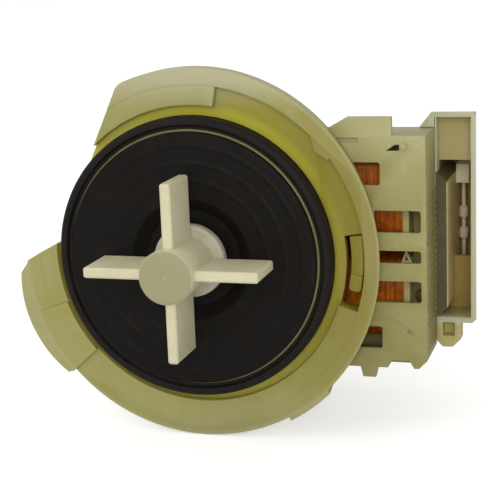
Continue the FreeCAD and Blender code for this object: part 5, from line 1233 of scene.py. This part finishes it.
@dataclass
class TerminalBox(Assembly):
    """Terminal box round the outer end of the core, its push-on tabs and the clip on the core.

    Each of the moves takes the vertices within a reach of a middle and shifts them.
    """

    edge: float = 0.25
    tab_edge: float = 0.12
    clip_edge: float = 0.3
    moves: tuple[tuple[Place, Place, Place], ...] = (
        ((57.8, 30.0, -8.0), (0.1, 12.0, 8.0), (-0.26, 0.0, 0.0)),
        ((57.6, 30.4, -15.6), (0.3, 0.7, 0.1), (0.0, 0.0, 0.27)),
        ((55.6, 30.4, -17.8), (0.1, 0.7, 0.1), (-0.26, 0.0, 0.0)),
        ((55.1, 30.4, -17.8), (0.7, 0.7, 0.1), (0.0, 0.0, 0.26)),
    )
    inner_x: float = 60.32
    inner_end: float = 42.8
    inner_flare: float = 0.1226
    inner_play: float = 0.05
    clip_front: float = 37.6
    clip_right: float = 60.2
    clip_wider: float = 0.5
    clip_deeper: float = 3.5
    side: tuple[Point2, ...] = ((54.62, 17.7), (54.95, 17.7), (54.95, 30.9), (54.62, 30.9))
    side_front: float = 19.0
    side_depth: float = 4.75
    side_edge: float = 0.1

    def moulded(self) -> Work:
        """Box with a flared mouth and a close fit round the core.

        Returns:
            The working mesh.
        """
        work = node_copy("terminal_box")
        for middle, reach, shift in self.moves:
            for vertex in work.verts:
                if all(abs(vertex.co[axis] / MM - middle[axis]) < reach[axis] for axis in range(3)):
                    vertex.co += Vector(shift) * MM
        for vertex in work.verts:
            if abs(vertex.co.x / MM - self.inner_x) < self.inner_play and vertex.co.y / MM < self.inner_end:
                vertex.co.x += (self.inner_end - vertex.co.y / MM) * self.inner_flare * MM
        return work

    def grown_clip(self) -> Work:
        """Clip on the core's end, with its block out to the box's side.

        Returns:
            The working mesh.
        """
        work = node_copy("core_clip")
        for vertex in work.verts:
            if vertex.co.x / MM > self.clip_right - NEAR:
                vertex.co.x += self.clip_wider * MM
            if vertex.co.y / MM < self.clip_front + NEAR:
                vertex.co.y -= self.clip_deeper * MM
        return work

    def build(self) -> None:
        """Build the box, its side wall, the clip and the tabs."""
        self.shop.piece("terminal_housing", [self.moulded()], "terminal_box_skin", ["terminal_box"],
                        bevel=self.edge)
        side = slab(self.side, self.side_front, self.side_depth)
        self.shop.piece("box_side_wall", [side], "terminal_side_skin", bevel=self.side_edge)
        self.shop.piece("core_end_clip", [self.grown_clip()], "core_clip_skin", ["core_clip"],
                        bevel=self.clip_edge)
        for word in ("upper", "lower"):
            self.shop.copy(word + "_terminal", word + "_tab", "tab_brass", self.tab_edge)


@dataclass
class Studio:
    """Pale floor and backdrop, soft lamps and the camera at the photograph's angle."""

    lens: float = 97.2
    sensor: float = 36.0
    clip: Point2 = (0.01, 20.0)
    place: Place = (0.10383, -0.29805, 0.07174)
    right: Place = (0.95879, 0.28156, -0.03791)
    up: Place = (-0.02618, 0.22043, 0.97505)
    forward: Place = (-0.28289, 0.93388, -0.21872)
    floor_gap: float = 0.2
    floor_reach: float = 3.0
    floor_tone: float = 0.86
    world_level: float = 0.62
    glow: float = 0.5
    target: Place = (0.01, 0.01, 0.0)
    lamps: tuple[tuple[str, Place, float, float], ...] = (
        ("key_lamp", (0.2, -0.8, 0.26), 0.35, 2.3),
        ("fill_lamp", (-0.5, -0.5, 0.6), 0.8, 1.4),
    )

    def background(self, graph: Graph) -> Socket:
        """Mask of the rays that see the white background: camera and transmission rays."""
        rays = graph.add("LightPath").outputs
        return graph.math("ADD", rays["Is Camera Ray"], rays["Is Transmission Ray"], True)

    def light_world(self) -> None:
        """Set a plain white world: soft light on the object and white behind it."""
        world = bpy.data.worlds.new("studio_world")
        world.use_nodes = True
        graph = Graph(world.node_tree)
        level = graph.math("MULTIPLY", self.background(graph), 1.0 - self.world_level)
        strength = graph.math("ADD", level, self.world_level)
        sky = graph.add("Background", {"Color": (1.0, 1.0, 1.0, 1.0), "Strength": strength})
        graph.add("OutputWorld", {"Surface": sky.outputs[0]})
        bpy.context.scene.world = world

    def floor_material(self) -> bpy.types.Material:
        """Pale matt floor that stays white to the camera but keeps its shadows.

        Returns:
            The material.
        """
        material = bpy.data.materials.new("studio_floor")
        material.use_nodes = True
        graph = Graph(material.node_tree)
        matt = graph.add("BsdfDiffuse", {"Color": (self.floor_tone, self.floor_tone, self.floor_tone, 1.0)})
        glow = graph.add("Emission", {"Strength": graph.math("MULTIPLY", self.background(graph), self.glow)})
        both = graph.add("AddShader", {0: matt.outputs[0], 1: glow.outputs[0]})
        graph.add("OutputMaterial", {"Surface": both.outputs[0]})
        return material

    def lay_floor(self, low: float) -> None:
        """Lay the floor just under the object.

        Args:
            low: height of the object's lowest point in metres.
        """
        work = bmesh.new()
        height = low - self.floor_gap * MM
        corners = [work.verts.new((x * self.floor_reach, y * self.floor_reach, height))
                   for x, y in ((-1, -1), (1, -1), (1, 1), (-1, 1))]
        work.faces.new(corners)
        floor = placed("studio_floor", finished("studio_floor", work))
        floor.data.materials.append(self.floor_material())
        floor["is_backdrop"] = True

    def hang_lamps(self) -> None:
        """Hang the soft area lamps, each turned to the object."""
        for name, place, size, power in self.lamps:
            lamp = bpy.data.lights.new(name, "AREA")
            lamp.shape = "SQUARE"
            lamp.size = size
            lamp.energy = power
            holder = placed(name, lamp)
            holder.location = place
            holder.rotation_euler = (Vector(self.target) - Vector(place)).to_track_quat("-Z", "Y").to_euler()

    def set_camera(self) -> None:
        """Set the camera as the photograph was taken."""
        camera = bpy.data.cameras.new("photo_camera")
        camera.lens = self.lens
        camera.sensor_width = self.sensor
        camera.sensor_fit = "HORIZONTAL"
        camera.clip_start, camera.clip_end = self.clip
        holder = placed("photo_camera", camera)
        turn = Matrix((self.right, self.up, [-value for value in self.forward])).transposed().to_4x4()
        holder.matrix_world = Matrix.Translation(self.place) @ turn
        bpy.context.scene.camera = holder

    def build(self) -> None:
        """Set up the world, floor, lamps, camera and view transform."""
        self.light_world()
        self.lay_floor(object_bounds()[0][2])
        self.hang_lamps()
        self.set_camera()
        bpy.context.scene.view_settings.view_transform = "Standard"


def main() -> None:
    """Build the pump and its studio."""
    logging.basicConfig(level=logging.INFO, format="%(name)s: %(message)s")
    shop = Workshop()
    for assembly in (PumpHead, Seals, FrontPlate, Impeller, Rotor, Stator, Covers, TerminalBox):
        assembly(shop).build()
    Studio().build()


if __name__ == "__main__":
    main()
